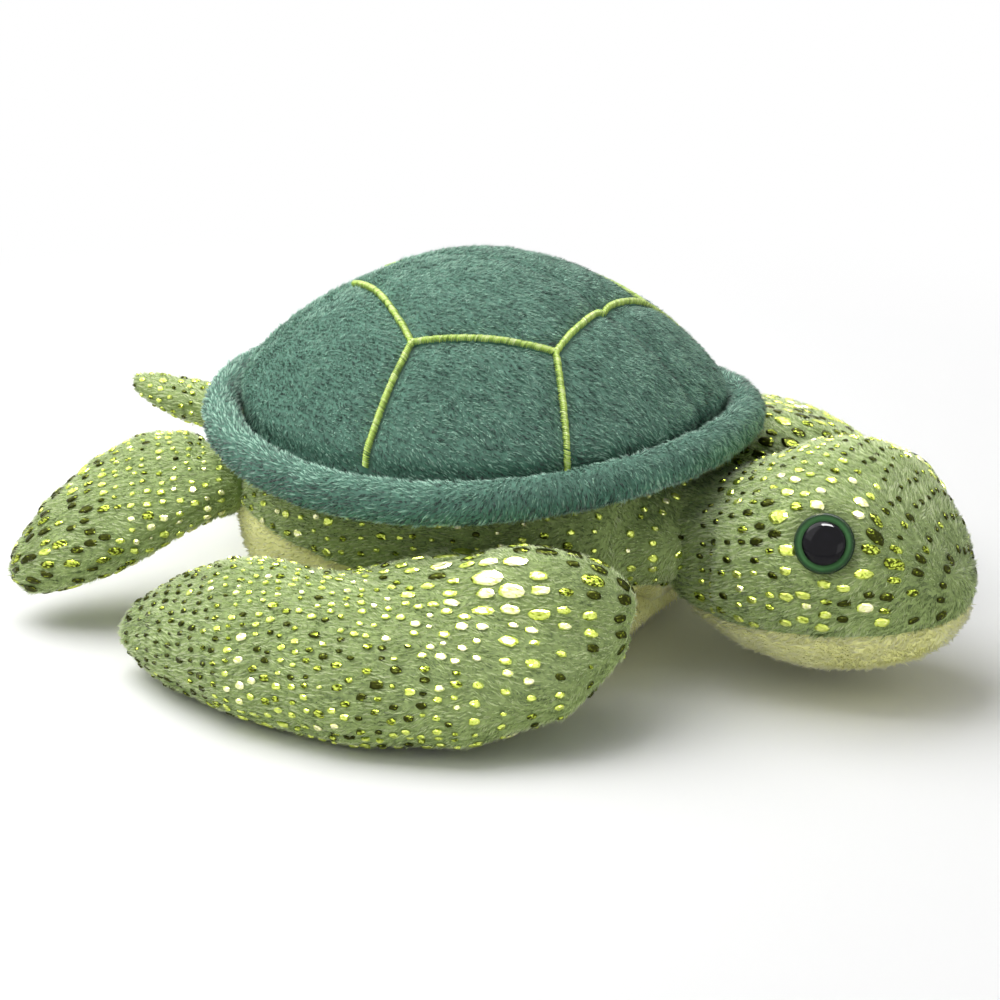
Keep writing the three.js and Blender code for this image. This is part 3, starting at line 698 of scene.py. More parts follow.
# %% Tufts
def tufts(rows, lie, spacing):
    """Gathers hairs into tufts three times as long as wide. Gives each hair's tuft, the tuft's middle, and
    how near the hair is to its tuft's edge, from 0 to 1."""
    forgiven_ahead = 0.89  # a step along the tuft then counts a third of a step across it
    middles = rows[::spacing]
    tree = KDTree(len(middles))
    for index, row in enumerate(middles):
        tree.insert(row, index)
    tree.balance()
    near = np.array([[hit[1] for hit in tree.find_n(row, 6)] for row in rows])
    step = rows[:, None, :] - middles[near]
    ahead = np.sum(step * lie[:, None, :], axis=2)
    gap = np.sqrt(np.maximum(np.sum(step * step, axis=2) - forgiven_ahead * ahead ** 2, 0))
    order = np.argsort(gap, axis=1)
    first, second = np.take_along_axis(gap, order[:, :2], 1).T
    mine = np.take_along_axis(near, order[:, :1], 1)[:, 0]
    return mine, middles[mine], first / np.maximum(second, 1e-9)


def even(value):
    """The same number everywhere on a skin."""
    return lambda rows, facing: np.full(len(rows), value)


# %% Hairs
def spikes(rows, tips, facing, width):
    """A closed spike of three sides from each row to its tip: four points and four faces each."""
    root_depth, floor_gap = 0.25 * mm, 0.05 * mm
    stem = unit(tips - rows)
    across = unit(np.cross(stem, facing))
    over = np.cross(across, stem)
    foot = rows - facing * root_depth
    half = width / 2
    points = np.stack([foot + across * half, foot - across * half, foot + over * half, tips], axis=1).reshape(-1, 3)
    points[:, 2] = np.maximum(points[:, 2], floor_gap)
    first = (np.arange(len(rows)) * 4)[:, None, None]
    return points, (first + np.array([[0, 2, 3], [2, 1, 3], [1, 0, 3], [0, 1, 2]])).reshape(-1, 3)


def lay_flat(coat, faces, count):
    """Gives each hair a cell of its own on the coat's flat map, where its colours can be kept."""
    wide = int(math.ceil(math.sqrt(count)))
    cell = np.stack([np.arange(count) % wide, np.arange(count) // wide], axis=1)[:, None, :]
    flat = (cell + np.array([[0.2, 0.2], [0.8, 0.2], [0.5, 0.3], [0.5, 0.85]])) / wide
    held = coat.data.uv_layers.new(name="OFBake")
    held.data.foreach_set("uv", flat.reshape(-1, 2)[faces.ravel()].astype(np.float32).ravel())


# %% A coat of hairs
def plant(name, skin, cloth, way, length=1.45, per_square_mm=5.2, lean=63, width=0.29,
          keep=even(1.0), bare=lambda rows: np.zeros(len(rows), bool),
          seams=(), contrast=1.0, tint=even(0.0), seed=1):
    """A coat of hairs on a skin. way(rows, facing) is the direction in which the pile lies."""
    hairs_in_tuft = max(2, int(per_square_mm * 1.5))
    rows, facing = spread(skin, per_square_mm, keep, seed)
    lie = way(rows, facing) + 0.4 * wander(rows, 5 * mm, seed + 1, 3) + 0.2 * wander(rows, 2 * mm, seed + 4, 3)
    lie = unit(lie - facing * np.sum(lie * facing, axis=1, keepdims=True))
    stay = ~(bare(rows) | bare(rows + lie * 0.5 * mm))
    rows, facing, lie = rows[stay], facing[stay], lie[stay]
    rng = np.random.default_rng(seed + 100)
    count = len(rows)
    mine, middle, edge = tufts(rows, lie, hairs_in_tuft)
    sewn = np.exp(-((seam_gap(rows, seams) / (1.1 * mm)) ** 2)) if seams else np.zeros(count)

    def by_tuft(size, *channels):
        """A random number of about this size for each tuft, given to all its hairs."""
        return rng.normal(0, size, (mine.max() + 1, *channels))[mine]

    # Length and lean: most of what varies is common to a tuft, a little is the hair's own.
    stray = by_tuft(1, 3)
    tall = length * mm * (1 + 0.15 * wander(rows, 3 * mm, seed + 2) + 0.08 * rng.normal(0, 1, count))
    tall *= (1 - 0.35 * edge ** 2) * (1 - 0.4 * sewn) * (1 + by_tuft(0.12))
    angle = math.radians(lean)
    aim_at = unit(facing * math.cos(angle) + lie * math.sin(angle) + 0.16 * stray + rng.normal(0, 0.05, (count, 3)))

    # The tip is drawn to the tuft's middle, but stays clear of the skin and of the table.
    draw_across, draw_along, skin_gap, table_gap = 0.8, 0.25, 0.3 * mm, 0.15 * mm
    to_middle = middle - rows
    ahead = np.sum(to_middle * lie, axis=1, keepdims=True) * lie
    tips = rows + aim_at * tall[:, None] + (to_middle - ahead) * draw_across + ahead * draw_along
    deep = np.sum((tips - rows) * facing, axis=1, keepdims=True)
    tips = tips + facing * np.maximum(skin_gap - deep, 0)
    tips[:, 2] = np.maximum(tips[:, 2], table_gap)
    points, faces = spikes(rows, tips, facing, width * mm)
    coat = make(name, points, faces, pile_paints[cloth])

    # Tone: painted shade where tufts part, in the crease of a seam and at the roots, light at the tips, and the tint's
    # painted light and shade over the form.
    painted_tuft_gap_shade, painted_seam_shade = 0.6, 0.35
    shade = by_tuft(0.15) + rng.normal(0, 0.05, count)
    shade = shade + 0.15 * wander(rows, 5 * mm, seed + 3)
    shade = (shade + 0.24 - painted_tuft_gap_shade * edge ** 2) * contrast - painted_seam_shade * sewn + tint(rows, facing)
    tone = np.stack([0.1 + 0.3 * shade, 0.1 + 0.3 * shade, 0.3 + 0.8 * shade, 0.78 + 1.1 * shade], axis=1)
    mark(coat, "tone", np.clip(tone.ravel(), 0, 1))
    lay_flat(coat, faces, count)
    print(name, "hairs:", count)
    return coat


# %% Which way the pile lies
def along(direction):
    return lambda rows, facing: np.tile(np.array(direction, float), (len(rows), 1))


rearwards, shell_way = along((-1, 0, -0.25)), along((0.9, 0, -0.35))


def round_the_rim(rows, facing):
    """Back along the rim at the sides and the rear, and down over it at the front."""
    flat = unit(rows * [1, 1, 0])
    back = np.stack([-np.abs(flat[:, 1]), np.sign(rows[:, 1]) * flat[:, 0], 0 * rows[:, 0]], axis=1)
    front = ease(0, 45 * mm, rows[:, 0])[:, None]
    return back * (1 - front) + (flat * 0.4 + np.array([0, 0, -0.9])) * front + np.array([0, 0, -0.25])


def chin_way(rows, facing):
    """Rearwards under the chin, and fanning out at the lip."""
    return rearwards(rows, facing) * 0.6 + unit(rows - [80 * mm, 0, 25 * mm]) * [1.2, 1.2, 0]


print("pile lies along", rearwards(np.zeros((1, 3)), None)[0], "on the body")

# %% [markdown]
# ## Foil dots
# The green cloth is printed with small oval dots of metal foil, in rows along each limb. The foil
# presses the pile flat and crumples a little. Which facets look dark and which catch the light is
# painted into each flake's colour, as painted reflection.
# Each dot could be a patch of colour on the cloth, but then it would lie under the hairs. So it is
# a thin closed flake that follows the skin at the height of the pile's tips.


# %% Foil paint
def foil_paint():
    """Dark olive, lime and white by the tone of each flake, in streaks that run along it. The lime is the print's
    colour; the dark olive, the white and the streaks are painted reflection and painted glints of crumpled metal.
    """
    paint = Paint("foil_print", Metallic=1.0, Roughness=0.33)
    streaks = paint.noise(2400, 2, (0.35, 1, 1))
    paint.feed("Base Color", paint.ramp(paint.value("tone") + (streaks - 0.5) * 0.9, [
        (0, (40, 42, 16)), (0.34, (60, 66, 24)), (0.42, (150, 166, 52)), (0.5, (204, 220, 96)),
        (0.68, (224, 236, 124)), (0.8, (248, 246, 190)), (1, (252, 250, 218))]))
    paint.bump(streaks, 0.0002, 0.5)
    return paint


foil = foil_paint()
print("paint:", foil.material.name)


# %% Rows of dots
def section_rows(skin, direction, start, stop, pitch_along, pitch_around, seed):
    """Places for dots: rings round the skin at even steps along it, dots at even steps round each ring."""
    tree = nearest(skin)
    rows = places(skin)
    direction = unit(np.array(direction, float))
    level = unit(np.cross([0, 0, 1], direction))
    upward = np.cross(direction, level)
    depth = rows @ direction
    low, high = (depth.min() * (1 - share) + depth.max() * share for share in (start, stop))
    found = []
    shift = np.random.default_rng(seed + 1).uniform(0, 1, 40)
    for number, at in enumerate(np.arange(low, high, pitch_along)):
        near = rows[np.abs(depth - at) < 1.2 * mm]
        if len(near) < 12:
            continue
        side, lift = near @ level, near @ upward
        middle = direction * at + level * (side.min() + side.max()) / 2 + upward * (lift.min() + lift.max()) / 2
        ring = []
        for angle in np.linspace(0, 2 * math.pi, 97)[:-1]:
            ray = level * math.cos(angle) + upward * math.sin(angle)
            hit = tree.ray_cast(Vector(middle + ray * 0.09), Vector(-ray))
            if hit[0] is not None:
                ring.append(np.array(hit[0]))
        if len(ring) < 90:
            continue
        ring = np.array(ring + [ring[0]])
        lengths = np.concatenate([[0], np.linalg.norm(np.diff(ring, axis=0), axis=1).cumsum()])
        count = max(3, round(lengths[-1] / pitch_around))
        for k in range(count):
            at_length = ((k + shift[number % 40]) / count % 1) * lengths[-1]
            found.append([np.interp(at_length, lengths, ring[:, axis]) for axis in range(3)])
    found = np.array(found)
    jitter = np.random.default_rng(seed).normal(0, 1, found.shape)
    return found + jitter * 0.4 * mm


# %% Printing a dot
def print_foil(name, skin, sites, direction, size, seed, keep):
    """Flakes of foil at the sites. size(rows) gives each flake's half length, half width and shine."""
    rng = np.random.default_rng(seed)
    tree = nearest(skin)
    sites = sites[keep(sites)]
    sites = sites[rng.permutation(len(sites))]
    long, wide, shine = size(sites)
    height, sides, gap_ahead, gap_beside, crumple = 0.66, 10, 0.7 * mm, 0.6 * mm, 0.03
    turn_around = np.linspace(0, 2 * math.pi, sides + 1)[:-1]
    points, faces, tones, middles = [], [], [], []
    for number, site in enumerate(sites):
        place, normal = (np.array(row) for row in tree.find_nearest(Vector(site))[:2])
        lie = np.array(direction) - normal * (np.array(direction) @ normal)
        if np.linalg.norm(lie) < 1e-3:
            continue
        lie = unit(lie)
        across = np.cross(normal, lie)
        if middles:  # A dot that would overlap an earlier one is left out.
            step = place - np.array([dot[0] for dot in middles])
            reach = np.array([dot[3] for dot in middles]) + long[number] + gap_ahead
            room = np.array([dot[4] for dot in middles]) + wide[number] + gap_beside
            if np.any((step @ lie / reach) ** 2 + (step @ across / room) ** 2 + (step @ normal / room) ** 2 < 1):
                continue
        wave = 1 + 0.08 * rng.normal(0, 1, sides)
        rims = [place + (lie * math.cos(t) * long[number] + across * math.sin(t) * wide[number]) * w
                * (1 + 0.04 * abs(math.sin(2 * t))) for t, w in zip(turn_around, wave)]
        inner = [place + (row - place) * 0.65 for row in rims]
        flake = []
        for group, lifted in (([place], height), (inner, height), (rims, height - 0.25)):
            for row in group:
                spot, facing = (np.array(found) for found in tree.find_nearest(Vector(row))[:2])
                flake.append(spot + facing * (lifted + rng.normal(0, crumple)) * mm)
        top = len(points)
        ring_1, ring_2, ring_3 = top + 1, top + 1 + sides, top + 1 + 2 * sides
        points += flake + [row - normal * 0.15 * mm for row in flake[1 + sides:]]
        for k in range(sides):
            j = (k + 1) % sides
            faces += [(top, ring_1 + k, ring_1 + j), (ring_1 + k, ring_2 + k, ring_2 + j),
                      (ring_1 + k, ring_2 + j, ring_1 + j), (ring_2 + k, ring_3 + k, ring_3 + j),
                      (ring_2 + k, ring_3 + j, ring_2 + j)]
        faces.append(tuple(ring_3 + k for k in reversed(range(sides))))
        # The tone class is painted reflection: dark, lime or white by the dot's shine.
        share = shine[number] + rng.normal(0, 0.16)
        tone = 0.24 if share < 0.3 else 0.4 if share < 0.45 else 0.58 if share < 0.72 else 0.82
        # The rear end of a flake is darkened as a painted shadow, most on the white flakes.
        rear = -math.copysign(1, lie[0])
        painted_shadow_end = [max(rear * math.cos(t), 0) ** 2 * (0.5 if tone > 0.7 else 0.12) for t in turn_around]
        tones += [tone] * (1 + sides) + [tone - end for end in painted_shadow_end] * 2
        middles.append((place, lie, across, long[number], wide[number]))
    made = make(name, np.array(points), faces, foil)
    mark(made, "tone", tones)
    made.data.shade_flat()
    print(name, "dots:", len(middles))
    return made, middles


# %% Bare under the dots
def under_foil(middles):
    """Tells which hairs would grow under a flake."""
    tree = KDTree(len(middles))
    for index, dot in enumerate(middles):
        tree.insert(dot[0], index)
    tree.balance()
    place, lie, across, long, wide = (np.array([dot[k] for dot in middles]) for k in range(5))

    def covered(rows):
        result = np.zeros(len(rows), bool)
        for number, row in enumerate(rows):
            for _, index, _ in tree.find_n(row, 2):
                step = row - place[index]
                if (step @ lie[index] / long[index]) ** 2 + (step @ across[index] / wide[index]) ** 2 < 0.95:
                    result[number] = True
                    break
        return result

    return covered


# %% Sizes of the dots
def graded(table, seed):
    """Dot sizes and shine between the rows of a table, each blended from its nearest rows."""
    table = np.array(table, float)

    def size(rows):
        spots = rows / mm * [1, -1 if rows[:, 1].mean() > 10 * mm else 1, 1]
        if abs(rows[:, 1].mean()) < 10 * mm:
            spots[:, 1] = -np.abs(spots[:, 1])
        near = 1 / (np.sum((spots[:, None, :] - table[None, :, :3]) ** 2, axis=2) + 4) ** 1.5
        long, wide, shine = (near / near.sum(axis=1, keepdims=True) @ table[:, 3:]).T
        grow = np.exp(np.random.default_rng(seed).normal(0, 0.2, len(rows)))
        return long * grow * mm, wide * grow * mm, shine

    return size


# %% [markdown]
# ## Where the dots are large or small
# The print has large ovals in one place and pin pricks in the next. A short table tells it: a
# place on the right side of the toy, the half length and half width of the dots there, all in
# millimetres, and how much they shine, from dark 0 to white 1. The shine is painted reflection:
# white where the foil would mirror the lamp, dark where it would mirror shade.

# %% Dot tables
dot_tables = {
    "front": [
        (30, -50, 35, 2.9, 1.1, 0.05), (34, -47, 36, 2.4, 1.0, 0.05), (35, -57, 32, 2.3, 1.0, 0.8),
        (40, -57, 30, 2.1, 1.0, 0.9), (47, -59, 26, 1.5, 0.8, 0.9), (42, -47, 34, 1.9, 1.0, 0.05),
        (50, -47, 31, 1.8, 0.9, 0.05), (56, -52, 26, 1.5, 0.9, 0.15), (60, -48, 21, 1.2, 0.7, 0.2),
        (33, -70, 24, 1.0, 0.6, 0.85), (24, -74, 24, 0.8, 0.5, 0.75), (7, -68, 29, 0.7, 0.42, 0.6),
        (-14, -72, 27, 0.65, 0.4, 0.55), (-26, -78, 16, 0.7, 0.45, 0.1), (-38, -71, 17, 0.7, 0.45, 0.15),
        (-3, -85, 10, 1.0, 0.7, 0.58), (23, -81, 17, 1.1, 0.7, 0.1), (40, -76, 11, 0.8, 0.55, 0.56),
        (20, -83, 9, 0.9, 0.6, 0.56), (4, -80, 18, 0.7, 0.45, 0.35), (54, -61, 18, 0.8, 0.6, 0.25),
        (50, -68, 13, 0.8, 0.5, 0.45)],
    "rear": [
        (-72, -55, 14, 1.9, 0.8, 0.3), (-67, -51, 21, 1.4, 0.7, 0.1), (-54, -46, 22, 0.8, 0.6, 0.7),
        (-62, -41, 32, 0.7, 0.4, 0.5), (-54, -34, 36, 0.5, 0.35, 0.5), (-46, -39, 30, 0.8, 0.5, 0.75)],
    "tail": [(-70, 0, 38, 0.7, 0.45, 0.45)],
    "head": [
        (78, -21, 42, 1.9, 1.1, 0.2), (79, -16, 47, 1.0, 0.6, 0.75), (89, -15, 46, 1.2, 0.8, 0.8),
        (99, -19, 33, 2.0, 0.9, 0.38), (102, -18, 27, 1.8, 0.9, 0.35), (84, -25, 22, 1.5, 0.9, 0.58),
        (97, -20, 19, 1.2, 0.8, 0.58), (71, -24, 23, 1.1, 0.7, 0.58), (102, -9, 38, 0.7, 0.45, 0.1),
        (107, -8, 31, 0.9, 0.6, 0.1), (61, -17, 36, 0.7, 0.45, 0.1), (76, -9, 49, 0.7, 0.4, 0.5),
        (58, -1, 42, 0.6, 0.4, 0.2), (89, -4, 49, 0.55, 0.35, 0.2), (98, -4, 44, 0.55, 0.35, 0.15)],
    "torso": [(-30, -42, 32, 0.9, 0.6, 0.6), (10, -46, 31, 0.75, 0.5, 0.5), (42, -25, 28, 0.8, 0.6, 0.6)],
}

# %% Foil on the limbs
def beyond_root(limb, lie, margin):
    """Tells which places are outside the torso: past the sewn root, or swept back behind its cushion."""
    root, hinge, out = (np.array(v) for v in roots[limb])
    return lambda rows: ((rows - root) @ out > margin) | ((rows - root) @ unit(np.array(lie)) > 18 * mm)


foils, dots = {}, {}
pitches = {"front": (2.9, 2.4), "rear": (3.1, 2.6), "tail": (2.9, 2.5)}
shoulder_share, shoulder_pitch = 0.28, (5.2, 3.3)
for limb, (cover, names) in limbs.items():
    kind, direction = limb.split("_")[0], limb_way(limb)
    sites = section_rows(cover, direction, 0.03, 0.98, *(pitch * mm for pitch in pitches[kind]), 5)
    if kind == "front":
        broad = section_rows(cover, direction, 0.02, 0.3, *(pitch * mm for pitch in shoulder_pitch), 5)
        line = np.array(unit(np.array(direction)))
        depth = places(cover) @ line
        limit = depth.min() * (1 - shoulder_share) + depth.max() * shoulder_share
        sites = np.concatenate([sites[sites @ line > limit], broad[broad @ line <= limit]])
    foils[limb], dots[limb] = print_foil(limb + "_foil", cover, sites, direction, graded(dot_tables[kind], 11), 20,
                                         beyond_root(limb, direction, 1.0 * mm))


# %% Foil on the head and the body side
def eye_gap(rows):
    """How far each row is from the nearer eye."""
    return np.min([np.linalg.norm(rows - np.array(middle), axis=1) for middle, _ in eyes.values()], axis=0)


def on_crown(rows):
    """Clear of the eyes, the chin seam and the neck."""
    height = rows[:, 2] - (chin_height + rows[:, 0] * math.tan(chin_rise))
    return (eye_gap(rows) > 7.6 * mm) & (height > 2.0 * mm) & (rows[:, 0] > 58 * mm)


def shows(rows):
    """Tells which places of the torso aren't hidden under the shell."""
    return (rows[:, 2] < 34 * mm) | ((rows[:, 0] / (52 * mm)) ** 2 + (rows[:, 1] / (50 * mm)) ** 2 > 0.8)


def on_side(rows):
    """Clear of the shell, the neck and the belly seam."""
    seam_height = 24 * mm - rows[:, 0] * math.tan(fall)
    return shows(rows) & (rows[:, 0] < 54 * mm) & (rows[:, 2] > seam_height)


sites = section_rows(crown, (1, 0, 0), 0.04, 0.97, 3.7 * mm, 3.0 * mm, 6)
foils["head"], dots["head"] = print_foil(
    "head_foil", crown, sites, (1, 0, 0), graded(dot_tables["head"], 14), 21, on_crown)
sites = section_rows(body_side, (1, 0, 0), 0.03, 0.98, 4.0 * mm, 3.2 * mm, 7)
foils["torso"], dots["torso"] = print_foil(
    "body_foil", body_side, sites, (1, 0, 0), graded(dot_tables["torso"], 15), 22, on_side)

# %% [markdown]
# ## Coats
# Every cloth gets its coat. The flat cut faces between two cloths stay bare, and so does the skin
# under a flake, a stitched line or an eye. Each coat has a tint that changes over the form, which
# is painted light and shade: lighter where light falls on it, darker on its flanks and under the shell.


# %% Coats of the shell
def shell_painted_shading(rows, facing):
    """Painted light on the crown and the rear, painted shade on the flanks and where the dome faces forwards."""
    return 0.24 - 0.32 * ease(0.1, 0.9, np.abs(facing[:, 1])) - 0.14 * ease(0.1, 0.7, facing[:, 0])


def rim_painted_shading(rows, facing):
    """Painted shade where the rim turns to the sides, painted light where it turns up."""
    return 0.12 - 0.6 * ease(0.1, 0.9, np.abs(facing[:, 1]) - facing[:, 2] * 0.2)


def off_cut(rows, facing):
    """Above the rim, and off the flat face between the shell's halves."""
    return (rows[:, 2] > 41 * mm) * (np.abs(rows[:, 1]) > 0.02 * mm) * 1.0


def on_line(rows):
    return distance_to_runs(rows) < 0.65 * mm


coats = {}
for name, skin, seed in (("shell_pile_left", shell_left, 31), ("shell_pile_right", shell_right, 32)):
    coats[name] = plant(name, skin, "teal", shell_way, keep=off_cut, bare=on_line, seams=shell_seams,
                        length=1.35, contrast=1.8, tint=shell_painted_shading, seed=seed)
coats["rim_pile"] = plant("rim_pile", rim, "teal", round_the_rim, per_square_mm=4.4, width=0.32, length=1.35,
                          contrast=1.6, tint=rim_painted_shading, seed=33)


# %% Coats of the torso, neck and head
def above_cut(limit=0.97):
    """Off the flat face that looks down."""
    return lambda rows, facing: (facing[:, 2] > -limit) * 1.0


def below_cut(limit=0.97):
    """Off the flat face that looks up."""
    return lambda rows, facing: (facing[:, 2] < limit) * 1.0


def side_keep(rows, facing):
    return shows(rows) * (rows[:, 2] < 46 * mm) * above_cut()(rows, facing)


# Painted shade on the body's side, deeper towards the shell above it.
def side_painted_shade(rows, facing):
    return -0.25 * ease(24 * mm, 36 * mm, rows[:, 2])


def crown_painted_shading(rows, facing):
    """Painted shade at the cheeks and the snout, painted light on top."""
    return 0.28 * ease(20 * mm, 40 * mm, rows[:, 2]) - 0.14 - 0.12 * ease(94 * mm, 104 * mm, rows[:, 0])


head_bare = under_foil(dots["head"])
for name, skin, cloth, way, settings in (
        ("body_pile", body_side, "green", rearwards, dict(
            keep=side_keep, bare=under_foil(dots["torso"]), per_square_mm=3.7, width=0.33, tint=side_painted_shade, seed=34)),
        ("belly_pile", belly, "yellow", rearwards, dict(
            keep=below_cut(), per_square_mm=1.4, width=0.45, contrast=0.6, tint=even(-0.12), seed=35)),
        ("neck_pile_upper", neck_upper, "green", rearwards, dict(keep=above_cut(), per_square_mm=5, seed=36)),
        ("neck_pile_lower", neck_lower, "yellow", rearwards, dict(
            keep=below_cut(), per_square_mm=5, contrast=0.5, seed=37)),
        ("crown_pile", crown, "green", rearwards, dict(
            keep=above_cut(0.985), bare=lambda rows: head_bare(rows) | (eye_gap(rows) < 5.9 * mm),
            per_square_mm=5.5, tint=crown_painted_shading, seed=38)),
        # The chin's tint is painted light, the glow that the pale table throws up under it.
        ("chin_pile", chin, "yellow", chin_way, dict(
            keep=below_cut(0.985), per_square_mm=4.7, width=0.34, length=1.8, lean=62, contrast=0.3,
            tint=even(0.15), seed=39))):
    coats[name] = plant(name, skin, cloth, way, **settings)


# %% Coats of the limbs
# Painted light on the tops of the limbs and painted shade low down.
def limb_painted_shading(rows, facing):
    return 0.16 * ease(14 * mm, 28 * mm, rows[:, 2]) - 0.07


for number, (limb, (cover, names)) in enumerate(limbs.items()):
    outside = beyond_root(limb, limb_way(limb), -1.0 * mm)
    coats[limb] = plant(limb + "_pile", cover, "green", along(limb_way(limb)),
                        keep=lambda rows, facing: outside(rows) * 1.0, bare=under_foil(dots[limb]),
                        seams=[(names[0], names[1])], per_square_mm=5.6, tint=limb_painted_shading, seed=49 + number)

# %% [markdown]
# ## Embroidery
# A satin stitch is a row of slanted threads laid side by side over the line. One thread is an
# arched sausage of a few faces, copied along each line with a small random change of length and
# colour. A printed line would be cheaper, but it would show no threads where light grazes it.


# %% Thread
def thread_paint():
    paint = Paint("lime_thread_paint", Roughness=0.45, Sheen_Weight=0.3, Sheen_Roughness=0.3)
    paint.feed("Base Color", paint.ramp(
        paint.value("tone"), [(0, (104, 142, 36)), (0.5, (206, 236, 104)), (1, (246, 255, 190))]))
    return paint


lime_thread = thread_paint()
thread_width, thread_thick, thread_step, slant_angle = 1.6 * mm, 0.45 * mm, 0.4 * mm, 0.42
thread_rings, thread_sides = 6, 5


def stitch(name, skin, side, seed):
    """Threads over every embroidered line of one side of the shell."""
    rng = np.random.default_rng(seed)
    tree = nearest(skin)
    arch = np.linspace(-1, 1, thread_rings)
    points, faces, tones = [], [], []
    for start, end in (run_ends(run, side) for run in runs):
        hits = [tree.ray_cast(Vector((*(start + (end - start) * k / 200), 0.12)), Vector((0, 0, -1)))[0]
                for k in range(201)]
        line = np.array([hit for hit in hits if hit is not None])
        lengths = np.concatenate([[0], np.linalg.norm(np.diff(line, axis=0), axis=1).cumsum()])
        for at in np.arange(0, lengths[-1], thread_step):
            here, ahead = (np.array([np.interp(at + more * mm, lengths, line[:, axis]) for axis in range(3)])
                           for more in (-0.5, 0.5))
            place, normal = (np.array(found) for found in tree.find_nearest(Vector((here + ahead) / 2))[:2])
            run = unit(ahead - here)
            run = unit(run - normal * (run @ normal))
            across = np.cross(normal, run)
            slant = across * math.cos(slant_angle) + run * math.sin(slant_angle)
            beside = np.cross(normal, slant)
            reach = thread_width / 2 * (1 + 0.06 * rng.normal())
            base = len(points)
            for u in arch:
                bulge = math.sqrt(max(1 - u * u, 0))
                middle = place + slant * u * reach + normal * ((0.55 + 0.75 * bulge) * mm + rng.normal(0, 0.02) * mm)
                thick = thread_thick / 2 * (0.55 + 0.45 * bulge)
                for v in range(thread_sides):
                    angle = v * 2 * math.pi / thread_sides
                    points.append(middle + beside * math.cos(angle) * thick + normal * math.sin(angle) * thick)
            for ring in range(base, base + (thread_rings - 1) * thread_sides, thread_sides):
                for v in range(thread_sides):
                    w = (v + 1) % thread_sides
                    faces.append((ring + v, ring + w, ring + thread_sides + w, ring + thread_sides + v))
            faces.append(tuple(base + v for v in reversed(range(thread_sides))))
            faces.append(tuple(len(points) - thread_sides + v for v in range(thread_sides)))
            # Each thread darkens towards its ends, a painted shade where it sinks into the pile that leaves its middle
            # looking lit.
            tone = 0.55 + 0.15 * rng.normal()
            tones += [tone - 0.35 * abs(u) ** 3 for u in arch for _ in range(thread_sides)]
    made = make(name, np.array(points), faces, lime_thread)
    mark(made, "tone", np.clip(tones, 0, 1))
    edit(made, bpy.ops.mesh.normals_make_consistent, inside=False)
    print(name, "threads:", len(points) // (thread_rings * thread_sides))
    return made


stitches_left = stitch("shell_stitches_left", shell_left, 1, 51)
stitches_right = stitch("shell_stitches_right", shell_right, -1, 52)

# %% [markdown]
# ## Eyes
# A safety eye is a green cup with a black pupil under a clear dome. The cup is a cylinder with
# its rim bevelled, the pupil a shiny button, and the dome half of a flattened ball.


# %% Eye paints
iris_paint = Paint("iris_paint", Roughness=0.4, Specular_IOR_Level=0.2)
iris_paint.feed("Base Color", iris_paint.ramp(iris_paint.value("ring"), [
    (0, (16, 34, 18)), (0.2, (62, 108, 60)), (0.5, (76, 130, 74)), (0.75, (40, 80, 40)), (1, (16, 40, 20))]))
pupil_paint = Paint("pupil_paint", Roughness=0.07, Specular_IOR_Level=0.2)
pupil_paint.feed("Base Color", pupil_paint.mix(pupil_paint.noise(300, 1), rgb(8, 7, 12), rgb(13, 11, 18)))
lens_paint = Paint("lens_paint")
clear = lens_paint.node("ShaderNodeBsdfTransparent", {}, {"Color": (1, 1, 1, 1)})
gloss = lens_paint.node("ShaderNodeBsdfGlossy", {}, {"Color": (1, 1, 1, 1), "Roughness": 0.03})
inside = lens_paint.node("ShaderNodeNewGeometry", out="Backfacing")
mirror = (lens_paint.node("ShaderNodeFresnel", {}, {"IOR": 1.45}) - 0.05) * (1 - inside)
lens_paint.surface(mirror, clear, gloss)
lens_paint.tree.nodes.remove(lens_paint.shader)
print("paints:", [paint.material.name for paint in (iris_paint, pupil_paint, lens_paint)])


# %% Eye pieces
def turned(name, profile, place, axis, paint, steps=64):
    """A turned piece: rows of (radius, height) spun round an axis, closed at both ends."""
    spin = axis.to_track_quat("Z", "Y").to_matrix()
    points = []
    for radius, height in profile:
        for k in range(steps):
            angle = 2 * math.pi * k / steps
            points.append(place + spin @ Vector((radius * math.cos(angle), radius * math.sin(angle), height)))
    faces = []
    for r in range(len(profile) - 1):
        for k in range(steps):
            j = (k + 1) % steps
            faces.append((r * steps + k, r * steps + j, (r + 1) * steps + j, (r + 1) * steps + k))
    faces.append(tuple(reversed(range(steps))))
    faces.append(tuple((len(profile) - 1) * steps + k for k in range(steps)))
    return make(name, np.array([list(p) for p in points]), faces, paint)


